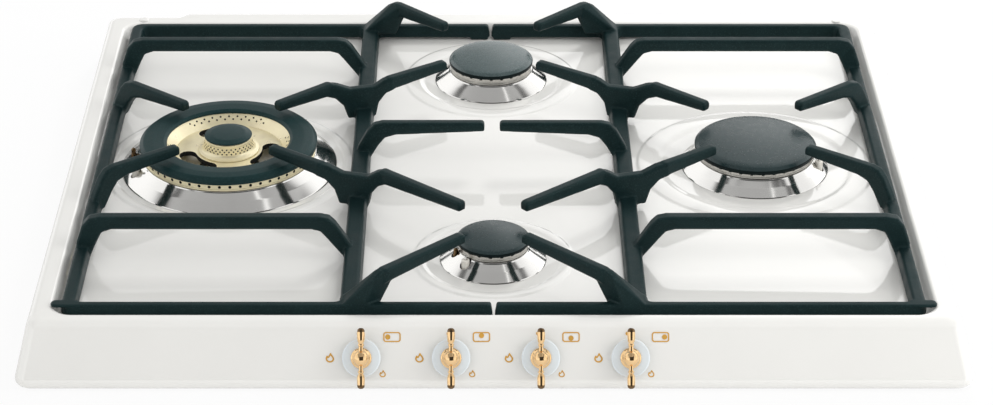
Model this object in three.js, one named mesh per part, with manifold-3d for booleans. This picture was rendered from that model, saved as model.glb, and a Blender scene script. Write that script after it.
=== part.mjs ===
// A 60 cm built-in gas hob: an enamelled pressed top with a sloping control fascia, four gas burners,
// two cast-iron pan supports and four push-and-turn controls, with the gas and ignition parts under it.
//
// Millimetres. X to the right, Y to the back, Z up. The origin is the centre of the tray's flat underside.

import * as THREE from 'three';
import { ConvexGeometry } from 'three/addons/geometries/ConvexGeometry.js';
import * as BufferGeometryUtils from 'three/addons/utils/BufferGeometryUtils.js';
import Module from 'manifold-3d';

const wasm = await Module();
wasm.setup();

// ---------------------------------------------------------------------------------------------------------
// Driving dimensions
// ---------------------------------------------------------------------------------------------------------

const GAP = 0.3; // clearance between pieces that rest on each other
const ROUND = { wide: 28, burner: 22, hidden: 16, small: 12, pin: 8 }; // sides of a turned piece

// Hob top: the edge between each flank and the rim, how far the flank spreads below it, and its rounding
const TRAY_DEPTH = 42; // tray below the worktop
const RIM_HEIGHT = 41.5; // rim above the worktop
const SHEET = 1.2; // enamelled steel sheet
const TOP_SIDE = { edge: 290, flare: 10, rounding: 6 };
const TOP_FRONT = { edge: 230, flare: 22.3, rounding: 10 };
const TOP_REAR = { edge: 226, flare: 27, rounding: 8 };
const TOP_CORNER = 7; // plan radius of the four corners
const LIP_RADIUS = 7; // rounded lower lip
const REAR_STEP = 6.5; // the middle of the rear edge stands this much further back
const REAR_STEP_HALF = 229; // half the length of that middle part
const REAR_STEP_RUN = 9; // length of the curve at each of its ends
const FLANGE_WIDTH = 14; // return flange under the lip
const FLANGE_RISE = 2.7; // flange above the worktop

// Pan: the sunken cooking surface
const PAN_SIDE = 277.3;
const PAN_FRONT = 221.5;
const PAN_REAR = 214;
const PAN_DEPTH = 9;
const PAN_WALL_RUN = 4.5; // how far its wall leans in
const PAN_CORNER = 14;
const PAN_EDGE_RADIUS = 2.5;
const PAN_FILLET = 4;

// Tray and seal under the top
const TRAY_SHEET = 1;
const TRAY_SIDE = 278;
const TRAY_END = 226;
const TRAY_CORNER = 8;
const TRAY_FLANGE = 8;
const SEAL_WIDTH = 7;
const SEAL_INSET = 1; // seal outside the tray wall

// Pan supports, heights from the rim
const SUPPORT_TOP = 23.4; // where a pan stands
const FRAME_TOP = 2;
const FRAME_DEPTH = 9;
const FRAME_SIDE = 272;
const FRAME_FRONT = 215.5;
const FRAME_REAR = 210;
const FRAME_MIDDLE = 1.2; // gap between the two supports
const FRAME_CORNER = 9;
const FRAME_DRAFT = 1.1; // how much narrower a bar is at the top, each side
const FRAME_CHAMFER = 0.9;
const EAR = { reach: 5.6, depth: 8.2, corner: 3.5, edge: 0.6 }; // at the outer front corners, over the rim
const SIDE_BAR = 10.4;
const END_BAR = 8.4;
const CROSS_BAR = 13.2;
const CROSS_BAR_X = 90.5; // centre line of the bar between the large and the small burners
const BRIDGE_Y = 135; // the two bridges over each frame
const BRIDGE_WIDTH = 8.4;
const BRIDGE_DEPTH = 9;
const FINGER_WIDTH = 7.2;
const FINGER_CHAMFER = 1;
const FINGER_TIP_DEPTH = 6.6;
const FINGER_ROOT_DEPTH = 9.6;
const SADDLE_TOP = 17.7;
const FOOT = { length: 13, width: 5, inward: 1.6, sideInset: 16, middleInset: 8 };

// Burners: place, and radii and heights (from the rim) of what shows
const BURNERS = {
  right: {
    x: 181.8, y: -2.7, cone: 51, crown: 40.3, crownBase: 1.2, neck: 20,
    cap: 42, capEdge: 5.1, capSide: 3.9, dome: 3,
    electrode: { radius: 44.8, angle: -17 }, thermocouple: { radius: 44.8, angle: 100 },
  },
  rear: {
    x: 0, y: 133.6, cone: 41.1, crown: 29.3, crownBase: 0.2, neck: 16,
    cap: 30.7, capEdge: 5.5, capSide: 3.5, dome: 2.5,
    electrode: { radius: 34, angle: 75 }, thermocouple: { radius: 34, angle: 110 },
  },
  front: {
    x: 0, y: -134.6, cone: 35, crown: 22.6, crownBase: 0.7, neck: 13,
    cap: 24, capEdge: 4.9, capSide: 2.7, dome: 2.5,
    electrode: { radius: 26.2, angle: 227 }, thermocouple: { radius: 25.2, angle: 196 },
  },
  left: {
    x: -181.8, y: -2.7, cone: 74.5, crown: 59.4, crownBase: 2, neck: 20,
    cap: 61.2, capEdge: 6.6, capSide: 5.4, dome: 0.6,
    electrode: { radius: 66.5, angle: 201 }, thermocouple: { radius: 66.5, angle: 177 },
  },
};
const CONE_SHEET = 1.2;
const CONE_SHOULDER = 0.4; // skirt's upper edge, outside the crown's wall
const HOLE_MARGIN = 1; // between a hole and the pin, probe or spindle that stands in it
const CROWN_WALL = 3.2;
const CROWN_FLOOR = 2.4;
const CROWN_NECK = 2.6; // wall of its neck
const NECK_GAP = 1; // between a crown's neck and its cup
const CAP_PLUG = 1.2; // locating ring under a cap
const CUP_DEPTH = 34;
const CUP_WALL = 2.5;
const CUP_FLANGE = 2.4;
const INJECTOR_HOLE = 2.2;

// Large burner: ring cap, deck and centre
const RING_HOLE = 42.3;
const TROUGH_WALL = 5;
const DECK_OUTER = 37;
const DECK_HEIGHT = 3.4;
const DECK_OPENING = { count: 3, inner: 23, outer: 35, span: 70, first: 102 }; // angles in degrees
const CENTRE = { crown: 18, foot: 21, base: 3.7, cap: 16.5, capEdge: 13.9, capSide: 1.1, dome: 1.8, wall: 3 };

// Ignition electrodes and thermocouples
const CERAMIC_RADIUS = 2.7;
const CERAMIC_TOP = 0.8; // above the rim
const PIN_RADIUS = 1;
const PROBE_RADIUS = 1.9;
const PROBE_LENGTH = 42;

// Controls
const CONTROL_PITCH = 55.5;
const CONTROL_SHIFT = 1.2; // the row's middle, right of the hob's middle
const CONTROL_DROP = 22.5; // down the slope from the rim edge
const DISC_RADIUS = 12;
const DISC_THICK = 3.4;
const PRESS_TRAVEL = 3;
const DISC_LIFT = PRESS_TRAVEL + 0.6; // disc above the fascia
const HANDLE_LENGTH = 37.6;
const HANDLE_BOSS = 6.4;
const HANDLE_BALL = 5.1;
const SPINDLE_RADIUS = 4;
const TAP_NECK = 6.5;
const TAP_RADIUS = 11;
const TAP_FRONT = 8; // along the spindle, behind the fascia
const TAP_SHOULDER = 28;
const TAP_END = 52;
const PLUG_RADIUS = 6.5;
const PLUG_LENGTH = 16;
const TANG = { width: 6.6, thick: 2.2, length: 8 };

// Gas rail, inlet and feed tubes
const RAIL = { size: 16, wall: 3, y: -206, z: 20, left: -105, right: 230, end: 190 };
const INLET = { body: 22, thread: 10.5, bore: 7, hole: 14, top: 30 };
const FEED_RADIUS = 3;
const FEED_LEVEL = 32;

// Ignition unit and mains terminals
const IGNITER = { x: -130, y: 120, length: 62, width: 40, height: 26 };
const TERMINALS = { x: -225, y: 190, length: 46, width: 26, height: 20 };
const CABLE_HOLE = 7; // radius of the hole in the tray beside the terminals

// Worked out
const WORKTOP = TRAY_DEPTH;
const RIM = WORKTOP + RIM_HEIGHT;
const PAN = RIM - PAN_DEPTH;
const SLOPE = Math.atan2(TOP_FRONT.flare, RIM_HEIGHT); // the fascia leans back this much
const CONTROL_Y = -(TOP_FRONT.edge + CONTROL_DROP * Math.sin(SLOPE));
const CONTROL_Z = RIM - CONTROL_DROP * Math.cos(SLOPE);
const CONTROLS = ['left', 'rear', 'front', 'right'].map((burner, i) => ({
  burner,
  x: CONTROL_SHIFT + (i - 1.5) * CONTROL_PITCH,
}));

// ---------------------------------------------------------------------------------------------------------
// Materials
// ---------------------------------------------------------------------------------------------------------

const material = (color, roughness, metalness) =>
  new THREE.MeshStandardMaterial({ color, roughness, metalness });
const ENAMEL = material(0xeeece8, 0.12, 0);
const IRON = material(0x2c3638, 0.55, 0.1);
const CAP_ENAMEL = material(0x3a4446, 0.4, 0.1);
const POLISHED = material(0xd8d8d6, 0.12, 1);
const CAST_ALU = material(0xb9b6ae, 0.4, 1);
const CHAMPAGNE = material(0xcfc39c, 0.35, 1);
const GOLD = material(0xd9a441, 0.18, 1);
const PORCELAIN = material(0xe9eef0, 0.1, 0);
const GALVANISED = material(0xa9adb0, 0.45, 1);
const BRASS = material(0xb8954a, 0.35, 1);
const CERAMIC = material(0xf0eee6, 0.3, 0);
const SEAL_FOAM = material(0x26282a, 0.9, 0);
const PLASTIC = material(0x303336, 0.6, 0);

// ---------------------------------------------------------------------------------------------------------
// Geometry helpers
// ---------------------------------------------------------------------------------------------------------

const radians = (degrees) => (degrees * Math.PI) / 180;

// Keeps the position only, joins shared vertices, drops empty triangles and turns the faces outward.
function tidy(geometry) {
  const source = geometry.clone();
  for (const name of Object.keys(source.attributes)) {
    if (name !== 'position') source.deleteAttribute(name);
  }
  const merged = BufferGeometryUtils.mergeVertices(source, 1e-4);
  const position = merged.attributes.position;
  const corners = merged.index.array;
  const kept = [];
  let volume = 0;
  const [a, b, c] = [new THREE.Vector3(), new THREE.Vector3(), new THREE.Vector3()];
  for (let i = 0; i < corners.length; i += 3) {
    const [p, q, r] = [corners[i], corners[i + 1], corners[i + 2]];
    if (p === q || q === r || r === p) continue;
    kept.push(p, q, r);
    a.fromBufferAttribute(position, p);
    b.fromBufferAttribute(position, q);
    c.fromBufferAttribute(position, r);
    volume += a.dot(b.cross(c));
  }
  if (volume < 0) {
    for (let i = 0; i < kept.length; i += 3) [kept[i], kept[i + 1]] = [kept[i + 1], kept[i]];
  }
  merged.setIndex(kept);
  return merged;
}

function toSolid(geometry) {
  const closed = tidy(geometry);
  return new wasm.Manifold(
    new wasm.Mesh({
      numProp: 3,
      vertProperties: new Float32Array(closed.attributes.position.array),
      triVerts: new Uint32Array(closed.index.array),
    }),
  );
}

function toGeometry(solid) {
  const mesh = solid.getMesh();
  const geometry = new THREE.BufferGeometry();
  geometry.setAttribute('position', new THREE.BufferAttribute(new Float32Array(mesh.vertProperties), 3));
  geometry.setIndex(Array.from(mesh.triVerts));
  return geometry;
}

const joined = (first, ...rest) => rest.reduce((solid, next) => solid.add(toSolid(next)), toSolid(first));
const cut = (solid, ...tools) => tools.reduce((rest, tool) => rest.subtract(toSolid(tool)), solid);

// A turned piece: profile points are [radius, height], and the axis is Z.
function turned(profile, segments) {
  const points = profile.map(([radius, height]) => new THREE.Vector2(radius, height));
  const open = profile[0][0] > 0 || profile[profile.length - 1][0] > 0;
  if (open) points.push(points[0].clone());
  return new THREE.LatheGeometry(points, segments).rotateX(Math.PI / 2);
}

const rod = (radius, low, high, segments) =>
  turned([[0, low], [radius, low], [radius, high], [0, high]], segments);

const block = (x, y, z) =>
  new THREE.BoxGeometry(x[1] - x[0], y[1] - y[0], z[1] - z[0]).translate(
    (x[0] + x[1]) / 2,
    (y[0] + y[1]) / 2,
    (z[0] + z[1]) / 2,
  );

// Moves each edge of a loop towards its material, which lies on the left of the loop's direction.
function inset(loop, distance) {
  return loop.map((point, i) => {
    const before = loop[(i + loop.length - 1) % loop.length];
    const after = loop[(i + 1) % loop.length];
    const arrive = point.clone().sub(before).normalize();
    const leave = after.clone().sub(point).normalize();
    const n1 = new THREE.Vector2(-arrive.y, arrive.x);
    const n2 = new THREE.Vector2(-leave.y, leave.x);
    return point.clone().add(n1.clone().add(n2).multiplyScalar(distance / (1 + n1.dot(n2))));
  });
}

// Extrudes an outline with holes through levels of [height, inset], for drafted and chamfered sections.
function tapered(shape, levels, divisions = 2) {
  const { shape: outline, holes } = shape.extractPoints(divisions);
  const open = (loop) => (loop[0].distanceTo(loop[loop.length - 1]) < 1e-6 ? loop.slice(0, -1) : loop);
  const contour = open(outline);
  const gaps = holes.map(open);
  if (THREE.ShapeUtils.isClockWise(contour)) contour.reverse();
  gaps.forEach((gap) => {
    if (!THREE.ShapeUtils.isClockWise(gap)) gap.reverse();
  });
  const faces = THREE.ShapeUtils.triangulateShape(contour, gaps);
  const loops = [contour, ...gaps];
  const count = loops.reduce((sum, loop) => sum + loop.length, 0);
  const vertices = [];
  for (const [height, distance] of levels) {
    for (const loop of loops) {
      for (const point of inset(loop, distance)) vertices.push(point.x, point.y, height);
    }
  }
  const index = [];
  const last = (levels.length - 1) * count;
  for (const [a, b, c] of faces) index.push(c, b, a, last + a, last + b, last + c);
  for (let level = 0; level < levels.length - 1; level += 1) {
    let start = level * count;
    for (const loop of loops) {
      for (let i = 0; i < loop.length; i += 1) {
        const a = start + i;
        const b = start + ((i + 1) % loop.length);
        index.push(a, b, b + count, a, b + count, a + count);
      }
      start += loop.length;
    }
  }
  const geometry = new THREE.BufferGeometry();
  geometry.setAttribute('position', new THREE.Float32BufferAttribute(vertices, 3));
  geometry.setIndex(index);
  return geometry;
}

const plate = (shape, low, high, divisions) => tapered(shape, [[low, 0], [high, 0]], divisions);

function roundedRectangle(x, y, radius, clockwise = false) {
  const path = clockwise ? new THREE.Path() : new THREE.Shape();
  path.absarc(x[1] - radius, y[1] - radius, radius, 0, Math.PI / 2);
  path.absarc(x[0] + radius, y[1] - radius, radius, Math.PI / 2, Math.PI);
  path.absarc(x[0] + radius, y[0] + radius, radius, Math.PI, 1.5 * Math.PI);
  path.absarc(x[1] - radius, y[0] + radius, radius, 1.5 * Math.PI, 2 * Math.PI);
  path.closePath();
  return path;
}

// Skins a stack of loops that have the same number of points, and closes both ends with a fan.
function lofted(loops) {
  const count = loops[0].length;
  const vertices = loops.flat(2);
  const index = [];
  for (let level = 0; level < loops.length - 1; level += 1) {
    for (let i = 0; i < count; i += 1) {
      const a = level * count + i;
      const b = level * count + ((i + 1) % count);
      index.push(a, b, b + count, a, b + count, a + count);
    }
  }
  for (const [level, flip] of [[0, true], [loops.length - 1, false]]) {
    const centre = vertices.length / 3;
    vertices.push(0, 0, loops[level][0][2]);
    for (let i = 0; i < count; i += 1) {
      const a = level * count + i;
      const b = level * count + ((i + 1) % count);
      index.push(centre, flip ? b : a, flip ? a : b);
    }
  }
  const geometry = new THREE.BufferGeometry();
  geometry.setAttribute('position', new THREE.Float32BufferAttribute(vertices, 3));
  geometry.setIndex(index);
  return geometry;
}

const hob = new THREE.Group();

function add(name, geometry, finish, parent = hob) {
  const mesh = new THREE.Mesh(geometry, finish);
  mesh.name = name;
  parent.add(mesh);
  return mesh;
}

// ---------------------------------------------------------------------------------------------------------
// Hob top
// ---------------------------------------------------------------------------------------------------------

const arcSteps = (from, to, steps) =>
  Array.from({ length: steps + 1 }, (_, i) => from + ((to - from) * i) / steps);

// One side's section from the return flange, round the lip, up the flank, over the rim and down to the pan.
// u runs outward from the hob's middle; nu and nz are the outward normal.
function topSection({ edge, flare, rounding }, panEdge) {
  const lean = Math.atan2(flare, RIM_HEIGHT);
  const lipU = edge + flare * (1 - LIP_RADIUS / RIM_HEIGHT) - LIP_RADIUS / Math.cos(lean);
  const lipZ = WORKTOP + GAP + LIP_RADIUS;
  const edgeU = edge - (rounding * (1 - Math.sin(lean))) / Math.cos(lean);
  const fold = lipU - LIP_RADIUS / 2; // where the return flange starts
  const points = [fold - FLANGE_WIDTH, fold].map((u) => (
    { u, z: WORKTOP + FLANGE_RISE, nu: 0, nz: -1, corner: PAN_FILLET }
  ));
  for (const angle of arcSteps(-Math.PI / 2, lean, 4)) {
    const [nu, nz] = [Math.cos(angle), Math.sin(angle)];
    points.push({
      u: lipU + LIP_RADIUS * nu, z: lipZ + LIP_RADIUS * nz, nu, nz, corner: TOP_CORNER, step: true,
    });
  }
  for (const angle of arcSteps(lean, Math.PI / 2, 3)) {
    const [nu, nz] = [Math.cos(angle), Math.sin(angle)];
    points.push({
      u: edgeU + rounding * nu, z: RIM - rounding + rounding * nz, nu, nz, corner: TOP_CORNER, step: true,
    });
  }
  const wall = Math.atan2(PAN_DEPTH, PAN_WALL_RUN); // from the level to the wall
  const tangent = Math.tan(wall / 2);
  for (const angle of arcSteps(0, wall, 2)) {
    const [nu, nz] = [-Math.sin(angle), Math.cos(angle)];
    points.push({
      u: panEdge + PAN_EDGE_RADIUS * (tangent + nu), z: RIM + PAN_EDGE_RADIUS * (nz - 1), nu, nz,
      corner: PAN_CORNER,
    });
  }
  for (const angle of arcSteps(wall, 0, 2)) {
    const [nu, nz] = [-Math.sin(angle), Math.cos(angle)];
    points.push({
      u: panEdge - PAN_WALL_RUN - PAN_FILLET * (tangent + nu), z: PAN + PAN_FILLET * (1 - nz), nu, nz,
      corner: PAN_CORNER - PAN_WALL_RUN,
    });
  }
  return points;
}

// The loop at one point of the three sections, moved against the normal by the sheet's thickness below it.
function topLoop(side, front, rear, depth) {
  const at = (point) => ({ u: point.u - depth * point.nu, z: point.z - depth * point.nz });
  const [s, f, r] = [at(side), at(front), at(rear)];
  const radius = Math.max(1, side.corner - depth * side.nu);
  const step = side.step ? (REAR_STEP * (r.z - WORKTOP)) / RIM_HEIGHT : 0;
  const points = [];
  const corner = (x, y, start, from, to) => {
    for (const t of [0, 1 / 3, 2 / 3, 1]) {
      const angle = start + (t * Math.PI) / 2;
      points.push([x + radius * Math.cos(angle), y + radius * Math.sin(angle), from + (to - from) * t]);
    }
  };
  const cornerX = s.u - radius;
  corner(cornerX, r.u - radius, 0, s.z, r.z);
  const stepEnd = REAR_STEP_HALF + REAR_STEP_RUN;
  for (const x of [stepEnd, REAR_STEP_HALF, -REAR_STEP_HALF, -stepEnd]) {
    points.push([x, r.u + (Math.abs(x) > REAR_STEP_HALF ? 0 : step), r.z]);
  }
  corner(-cornerX, r.u - radius, Math.PI / 2, r.z, s.z);
  corner(-cornerX, -(f.u - radius), Math.PI, s.z, f.z);
  corner(cornerX, -(f.u - radius), 1.5 * Math.PI, f.z, s.z);
  return points;
}

// A cylinder along a control's spindle axis, through the fascia.
const throughFascia = (x, radius) =>
  rod(radius, -LIP_RADIUS, LIP_RADIUS, ROUND.small)
    .rotateX(Math.PI / 2 - SLOPE)
    .translate(x, CONTROL_Y, CONTROL_Z);

const polar = ({ radius, angle }) => [radius * Math.cos(radians(angle)), radius * Math.sin(radians(angle))];

// Where a burner's electrode and thermocouple stand from its middle, and their radii.
const probes = (burner) =>
  [[burner.electrode, CERAMIC_RADIUS], [burner.thermocouple, PROBE_RADIUS]].map(([place, radius]) => {
    const [dx, dy] = polar(place);
    return { dx, dy, radius };
  });

function hobTop() {
  const side = topSection(TOP_SIDE, PAN_SIDE);
  const front = topSection(TOP_FRONT, PAN_FRONT);
  const rear = topSection(TOP_REAR, PAN_REAR);
  const loops = (depth) => side.map((point, i) => topLoop(point, front[i], rear[i], depth));
  const shell = toSolid(lofted([...loops(0).reverse(), ...loops(SHEET)]));
  const tools = CONTROLS.map(({ x }) => throughFascia(x, SPINDLE_RADIUS + HOLE_MARGIN));
  for (const burner of Object.values(BURNERS)) {
    const [low, high] = [PAN - PAN_DEPTH, PAN + PAN_DEPTH];
    tools.push(rod(burner.neck + GAP * 2, low, high, ROUND.hidden).translate(burner.x, burner.y, 0));
    for (const { dx, dy, radius } of probes(burner)) {
      const hole = rod(radius + HOLE_MARGIN, low, high, ROUND.pin);
      tools.push(hole.translate(burner.x + dx, burner.y + dy, 0));
    }
  }
  return toGeometry(cut(shell, ...tools));
}

add('hob_top', hobTop(), ENAMEL);

// ---------------------------------------------------------------------------------------------------------
// Tray and seal
// ---------------------------------------------------------------------------------------------------------

const FLANGE_Z = WORKTOP + FLANGE_RISE - GAP; // top of the tray's flange
const trayOutline = (offset, clockwise) =>
  roundedRectangle(
    [-TRAY_SIDE - offset, TRAY_SIDE + offset],
    [-TRAY_END - offset, TRAY_END + offset],
    TRAY_CORNER + offset,
    clockwise,
  );

function tray() {
  const flange = trayOutline(TRAY_FLANGE);
  flange.holes.push(trayOutline(-TRAY_SHEET, true));
  const body = joined(
    plate(trayOutline(0), 0, FLANGE_Z - TRAY_SHEET / 2),
    plate(flange, FLANGE_Z - TRAY_SHEET, FLANGE_Z),
  );
  const cableHole = rod(CABLE_HOLE, -1, TRAY_SHEET + 1, ROUND.small);
  return toGeometry(
    cut(
      body,
      plate(trayOutline(-TRAY_SHEET), TRAY_SHEET, FLANGE_Z + 1),
      rod(INLET.hole, -1, TRAY_SHEET + 1, ROUND.hidden).translate(RAIL.right, RAIL.end + INLET.body / 2, 0),
      cableHole.translate(TERMINALS.x + TERMINALS.length, TERMINALS.y, 0),
    ),
  );
}

function seal() {
  const outline = trayOutline(SEAL_INSET + SEAL_WIDTH);
  outline.holes.push(trayOutline(SEAL_INSET, true));
  return plate(outline, WORKTOP, FLANGE_Z - TRAY_SHEET - GAP);
}

add('base_tray', tray(), GALVANISED);
add('worktop_seal', tidy(seal()), SEAL_FOAM);

// ---------------------------------------------------------------------------------------------------------
// Burners
// ---------------------------------------------------------------------------------------------------------

const electrodeHoles = (burner, low, high, clearance) =>
  probes(burner).map(({ dx, dy, radius }) =>
    rod(radius + clearance, low, high, ROUND.pin).translate(dx, dy, 0),
  );

// Polished skirt round a burner, standing on the pan. Its upper land reaches in under the crown.
function skirt(burner, land, sides) {
  const top = RIM + burner.crownBase - GAP;
  const foot = PAN + GAP;
  const shoulder = burner.crown + CONE_SHOULDER;
  const bend = [burner.cone - (burner.cone - shoulder) * 0.55, foot + (top - foot) * 0.42];
  const profile = [
    [burner.cone, foot],
    [burner.cone, foot + CONE_SHEET],
    [bend[0], bend[1] + CONE_SHEET],
    [shoulder, top],
    [land, top],
    [land, top - CONE_SHEET],
    [shoulder - CONE_SHEET, top - CONE_SHEET],
    [bend[0] - CONE_SHEET, bend[1]],
    [burner.cone - 2.5 * CONE_SHEET, foot],
  ];
  const solid = toSolid(turned(profile, sides));
  return toGeometry(cut(solid, ...electrodeHoles(burner, foot - PAN_DEPTH, top + PAN_DEPTH, HOLE_MARGIN)));
}

// Aluminium crown: flame wall, floor and the neck that reaches down into the cup.
function crown(burner) {
  const base = RIM + burner.crownBase;
  const top = RIM + burner.capEdge - GAP;
  const neckEnd = PAN - CUP_DEPTH * 0.6;
  const profile = [
    [burner.crown, base],
    [burner.crown, top],
    [burner.crown - CROWN_WALL, top],
    [burner.crown - CROWN_WALL, base + CROWN_FLOOR],
    [burner.neck - CUP_WALL - NECK_GAP - CROWN_NECK, base + CROWN_FLOOR],
    [burner.neck - CUP_WALL - NECK_GAP - CROWN_NECK, neckEnd],
    [burner.neck - CUP_WALL - NECK_GAP, neckEnd],
    [burner.neck - CUP_WALL - NECK_GAP, base],
  ];
  return tidy(turned(profile, ROUND.burner));
}

// Domed cap with a rounded edge and a locating ring under it.
function cap({ radius, edge, side, dome, ring }) {
  const low = RIM + edge;
  const bevel = Math.min(side * 0.3, 1.2);
  const profile = [
    [0, low],
    [ring - 1.2, low],
    [ring - 1.2, low - CAP_PLUG],
    [ring, low - CAP_PLUG],
    [ring, low],
    [radius - bevel, low],
    [radius, low + bevel],
    [radius, low + side - bevel],
    [radius - bevel, low + side],
    [radius * 0.6, low + side + dome * 0.7],
    [0, low + side + dome],
  ];
  return tidy(turned(profile, ROUND.burner));
}

// Venturi cup under the pan: a flange that also carries electrode and thermocouple, and the injector floor.
function cup(burner) {
  const top = PAN - SHEET - GAP;
  const floor = top - CUP_DEPTH;
  const inner = burner.neck - CUP_WALL;
  const profile = [
    [burner.cone - 3, top],
    [inner, top],
    [inner, floor + CUP_WALL],
    [INJECTOR_HOLE, floor + CUP_WALL],
    [INJECTOR_HOLE, floor],
    [burner.neck, floor],
    [burner.neck, top - CUP_FLANGE],
    [burner.cone - 3, top - CUP_FLANGE],
  ];
  const solid = toSolid(turned(profile, ROUND.hidden));
  return toGeometry(cut(solid, ...electrodeHoles(burner, top - CUP_FLANGE - 1, top + 1, GAP)));
}

// Ceramic electrode with its steel pin, or the plain probe of the thermocouple.
function electrode() {
  const top = RIM + CERAMIC_TOP;
  const low = PAN - PROBE_LENGTH / 2;
  const profile = [
    [0, low],
    [CERAMIC_RADIUS, low],
    [CERAMIC_RADIUS, top],
    [PIN_RADIUS, top + 0.6],
    [PIN_RADIUS, top + 3],
    [0, top + 3],
  ];
  return tidy(turned(profile, ROUND.pin));
}

function thermocouple() {
  const top = RIM + CERAMIC_TOP + 1.6;
  const low = PAN - PROBE_LENGTH / 2;
  const profile = [
    [0, low],
    [PROBE_RADIUS, low],
    [PROBE_RADIUS, top - 1.2],
    [PROBE_RADIUS * 0.6, top],
    [0, top],
  ];
  return tidy(turned(profile, ROUND.pin));
}

// Crown of the large burner: a gas trough between two rings, the deck with four air openings, and the neck.
function largeCrown(burner) {
  const base = RIM + burner.crownBase;
  const top = RIM + burner.capEdge - GAP;
  const innerTop = RIM + burner.capEdge + burner.capSide - 2.4;
  const deck = RIM + DECK_HEIGHT;
  const trough = base - 3.4;
  const neck = burner.neck - CUP_WALL - NECK_GAP;
  const bore = neck - CROWN_NECK;
  const neckEnd = PAN - CUP_DEPTH * 0.6;
  const profile = [
    [burner.crown, base],
    [burner.crown, top],
    [burner.crown - TROUGH_WALL, top],
    [burner.crown - TROUGH_WALL, trough + CROWN_FLOOR],
    [RING_HOLE + 4.6, trough + CROWN_FLOOR],
    [RING_HOLE + 4.6, innerTop],
    [RING_HOLE + 0.6, innerTop],
    [DECK_OUTER, deck - 0.6],
    [bore, deck],
    [bore, neckEnd],
    [neck, neckEnd],
    [neck, deck - CROWN_FLOOR - 1],
    [DECK_OUTER + 2, deck - CROWN_FLOOR - 1],
    [DECK_OUTER + 4, trough],
    [burner.crown - CROWN_WALL, trough],
    [burner.crown - CROWN_WALL, base],
  ];
  const openings = Array.from({ length: DECK_OPENING.count }, (_, i) => {
    const middle = DECK_OPENING.first + (i * 360) / DECK_OPENING.count;
    const [from, to] = [radians(middle - DECK_OPENING.span / 2), radians(middle + DECK_OPENING.span / 2)];
    const shape = new THREE.Shape();
    shape.absarc(0, 0, DECK_OPENING.outer, from, to, false);
    shape.absarc(0, 0, DECK_OPENING.inner, to, from, true);
    shape.closePath();
    return plate(shape, deck - 12, deck + 3, 4);
  });
  return toGeometry(cut(toSolid(turned(profile, ROUND.wide)), ...openings));
}

// Flat ring cap of the large burner.
function ringCap(burner) {
  const low = RIM + burner.capEdge;
  const high = low + burner.capSide;
  const inner = RIM + burner.capEdge + burner.capSide - 2.4 + GAP;
  const profile = [
    [burner.cap - 1, low],
    [burner.cap, low + 1.2],
    [burner.cap, high - 1.4],
    [burner.cap - 1.4, high],
    [RING_HOLE + 9, high + burner.dome],
    [RING_HOLE + 1.2, high + burner.dome * 0.4],
    [RING_HOLE, high - 1],
    [RING_HOLE, inner],
    [RING_HOLE + 6, inner],
    [RING_HOLE + 8, low],
  ];
  return tidy(turned(profile, ROUND.wide));
}

// Centre flame ring of the large burner, seated on the deck.
function centreCrown() {
  const base = RIM + CENTRE.base;
  const top = RIM + CENTRE.capEdge - GAP;
  const profile = [
    [CENTRE.foot, base],
    [CENTRE.foot, base + 0.8],
    [CENTRE.crown, base + 3],
    [CENTRE.crown - 1.6, top],
    [CENTRE.crown - 1.6 - CENTRE.wall, top],
    [CENTRE.crown - 1 - CENTRE.wall, base],
  ];
  return tidy(turned(profile, ROUND.hidden));
}

for (const [name, burner] of Object.entries(BURNERS)) {
  const place = new THREE.Group();
  place.position.set(burner.x, burner.y, 0);
  hob.add(place);
  const large = name === 'left';
  add(`burner_cup_${name}`, cup(burner), CAST_ALU, place);
  const skirtLand = large ? burner.crown - CROWN_WALL + GAP * 2 : burner.neck + HOLE_MARGIN;
  add(`burner_skirt_${name}`, skirt(burner, skirtLand, large ? ROUND.wide : ROUND.burner), POLISHED, place);
  const crownShape = large ? largeCrown(burner) : crown(burner);
  add(`burner_crown_${name}`, crownShape, large ? CHAMPAGNE : CAST_ALU, place);
  if (large) {
    add('burner_ring_cap_left', ringCap(burner), CAP_ENAMEL, place);
    add('burner_crown_centre', centreCrown(), CHAMPAGNE, place);
    const size = {
      radius: CENTRE.cap, edge: CENTRE.capEdge, side: CENTRE.capSide, dome: CENTRE.dome,
      ring: CENTRE.crown - 1.6 - CENTRE.wall - GAP,
    };
    add('burner_cap_centre', cap(size), CAP_ENAMEL, place);
  } else {
    const size = {
      radius: burner.cap, edge: burner.capEdge, side: burner.capSide, dome: burner.dome,
      ring: burner.crown - CROWN_WALL - GAP,
    };
    add(`burner_cap_${name}`, cap(size), CAP_ENAMEL, place);
  }
  const [ex, ey] = polar(burner.electrode);
  add(`electrode_${name}`, electrode(), CERAMIC, place).position.set(ex, ey, 0);
  const [tx, ty] = polar(burner.thermocouple);
  add(`thermocouple_${name}`, thermocouple(), BRASS, place).position.set(tx, ty, 0);
}

// ---------------------------------------------------------------------------------------------------------
// Pan supports, modelled for the left half and mirrored for the right
// ---------------------------------------------------------------------------------------------------------

const FRAME_LOW = FRAME_TOP - FRAME_DEPTH; // from the rim

// Stands a profile of [run, height from the rim] upright over the line from one plan point towards another.
function blade(shape, from, towards, width, chamfer) {
  const half = width / 2;
  const levels = [[-half, chamfer], [-half + chamfer, 0], [half - chamfer, 0], [half, chamfer]];
  const run = new THREE.Vector3(towards[0] - from[0], towards[1] - from[1], 0).normalize();
  const up = new THREE.Vector3(0, 0, 1);
  const across = new THREE.Vector3().crossVectors(run, up);
  const place = new THREE.Matrix4().makeBasis(run, up, across).setPosition(from[0], from[1], RIM);
  return tapered(shape, levels).applyMatrix4(place);
}

const distance = (a, b) => Math.hypot(b[0] - a[0], b[1] - a[1]);

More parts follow.
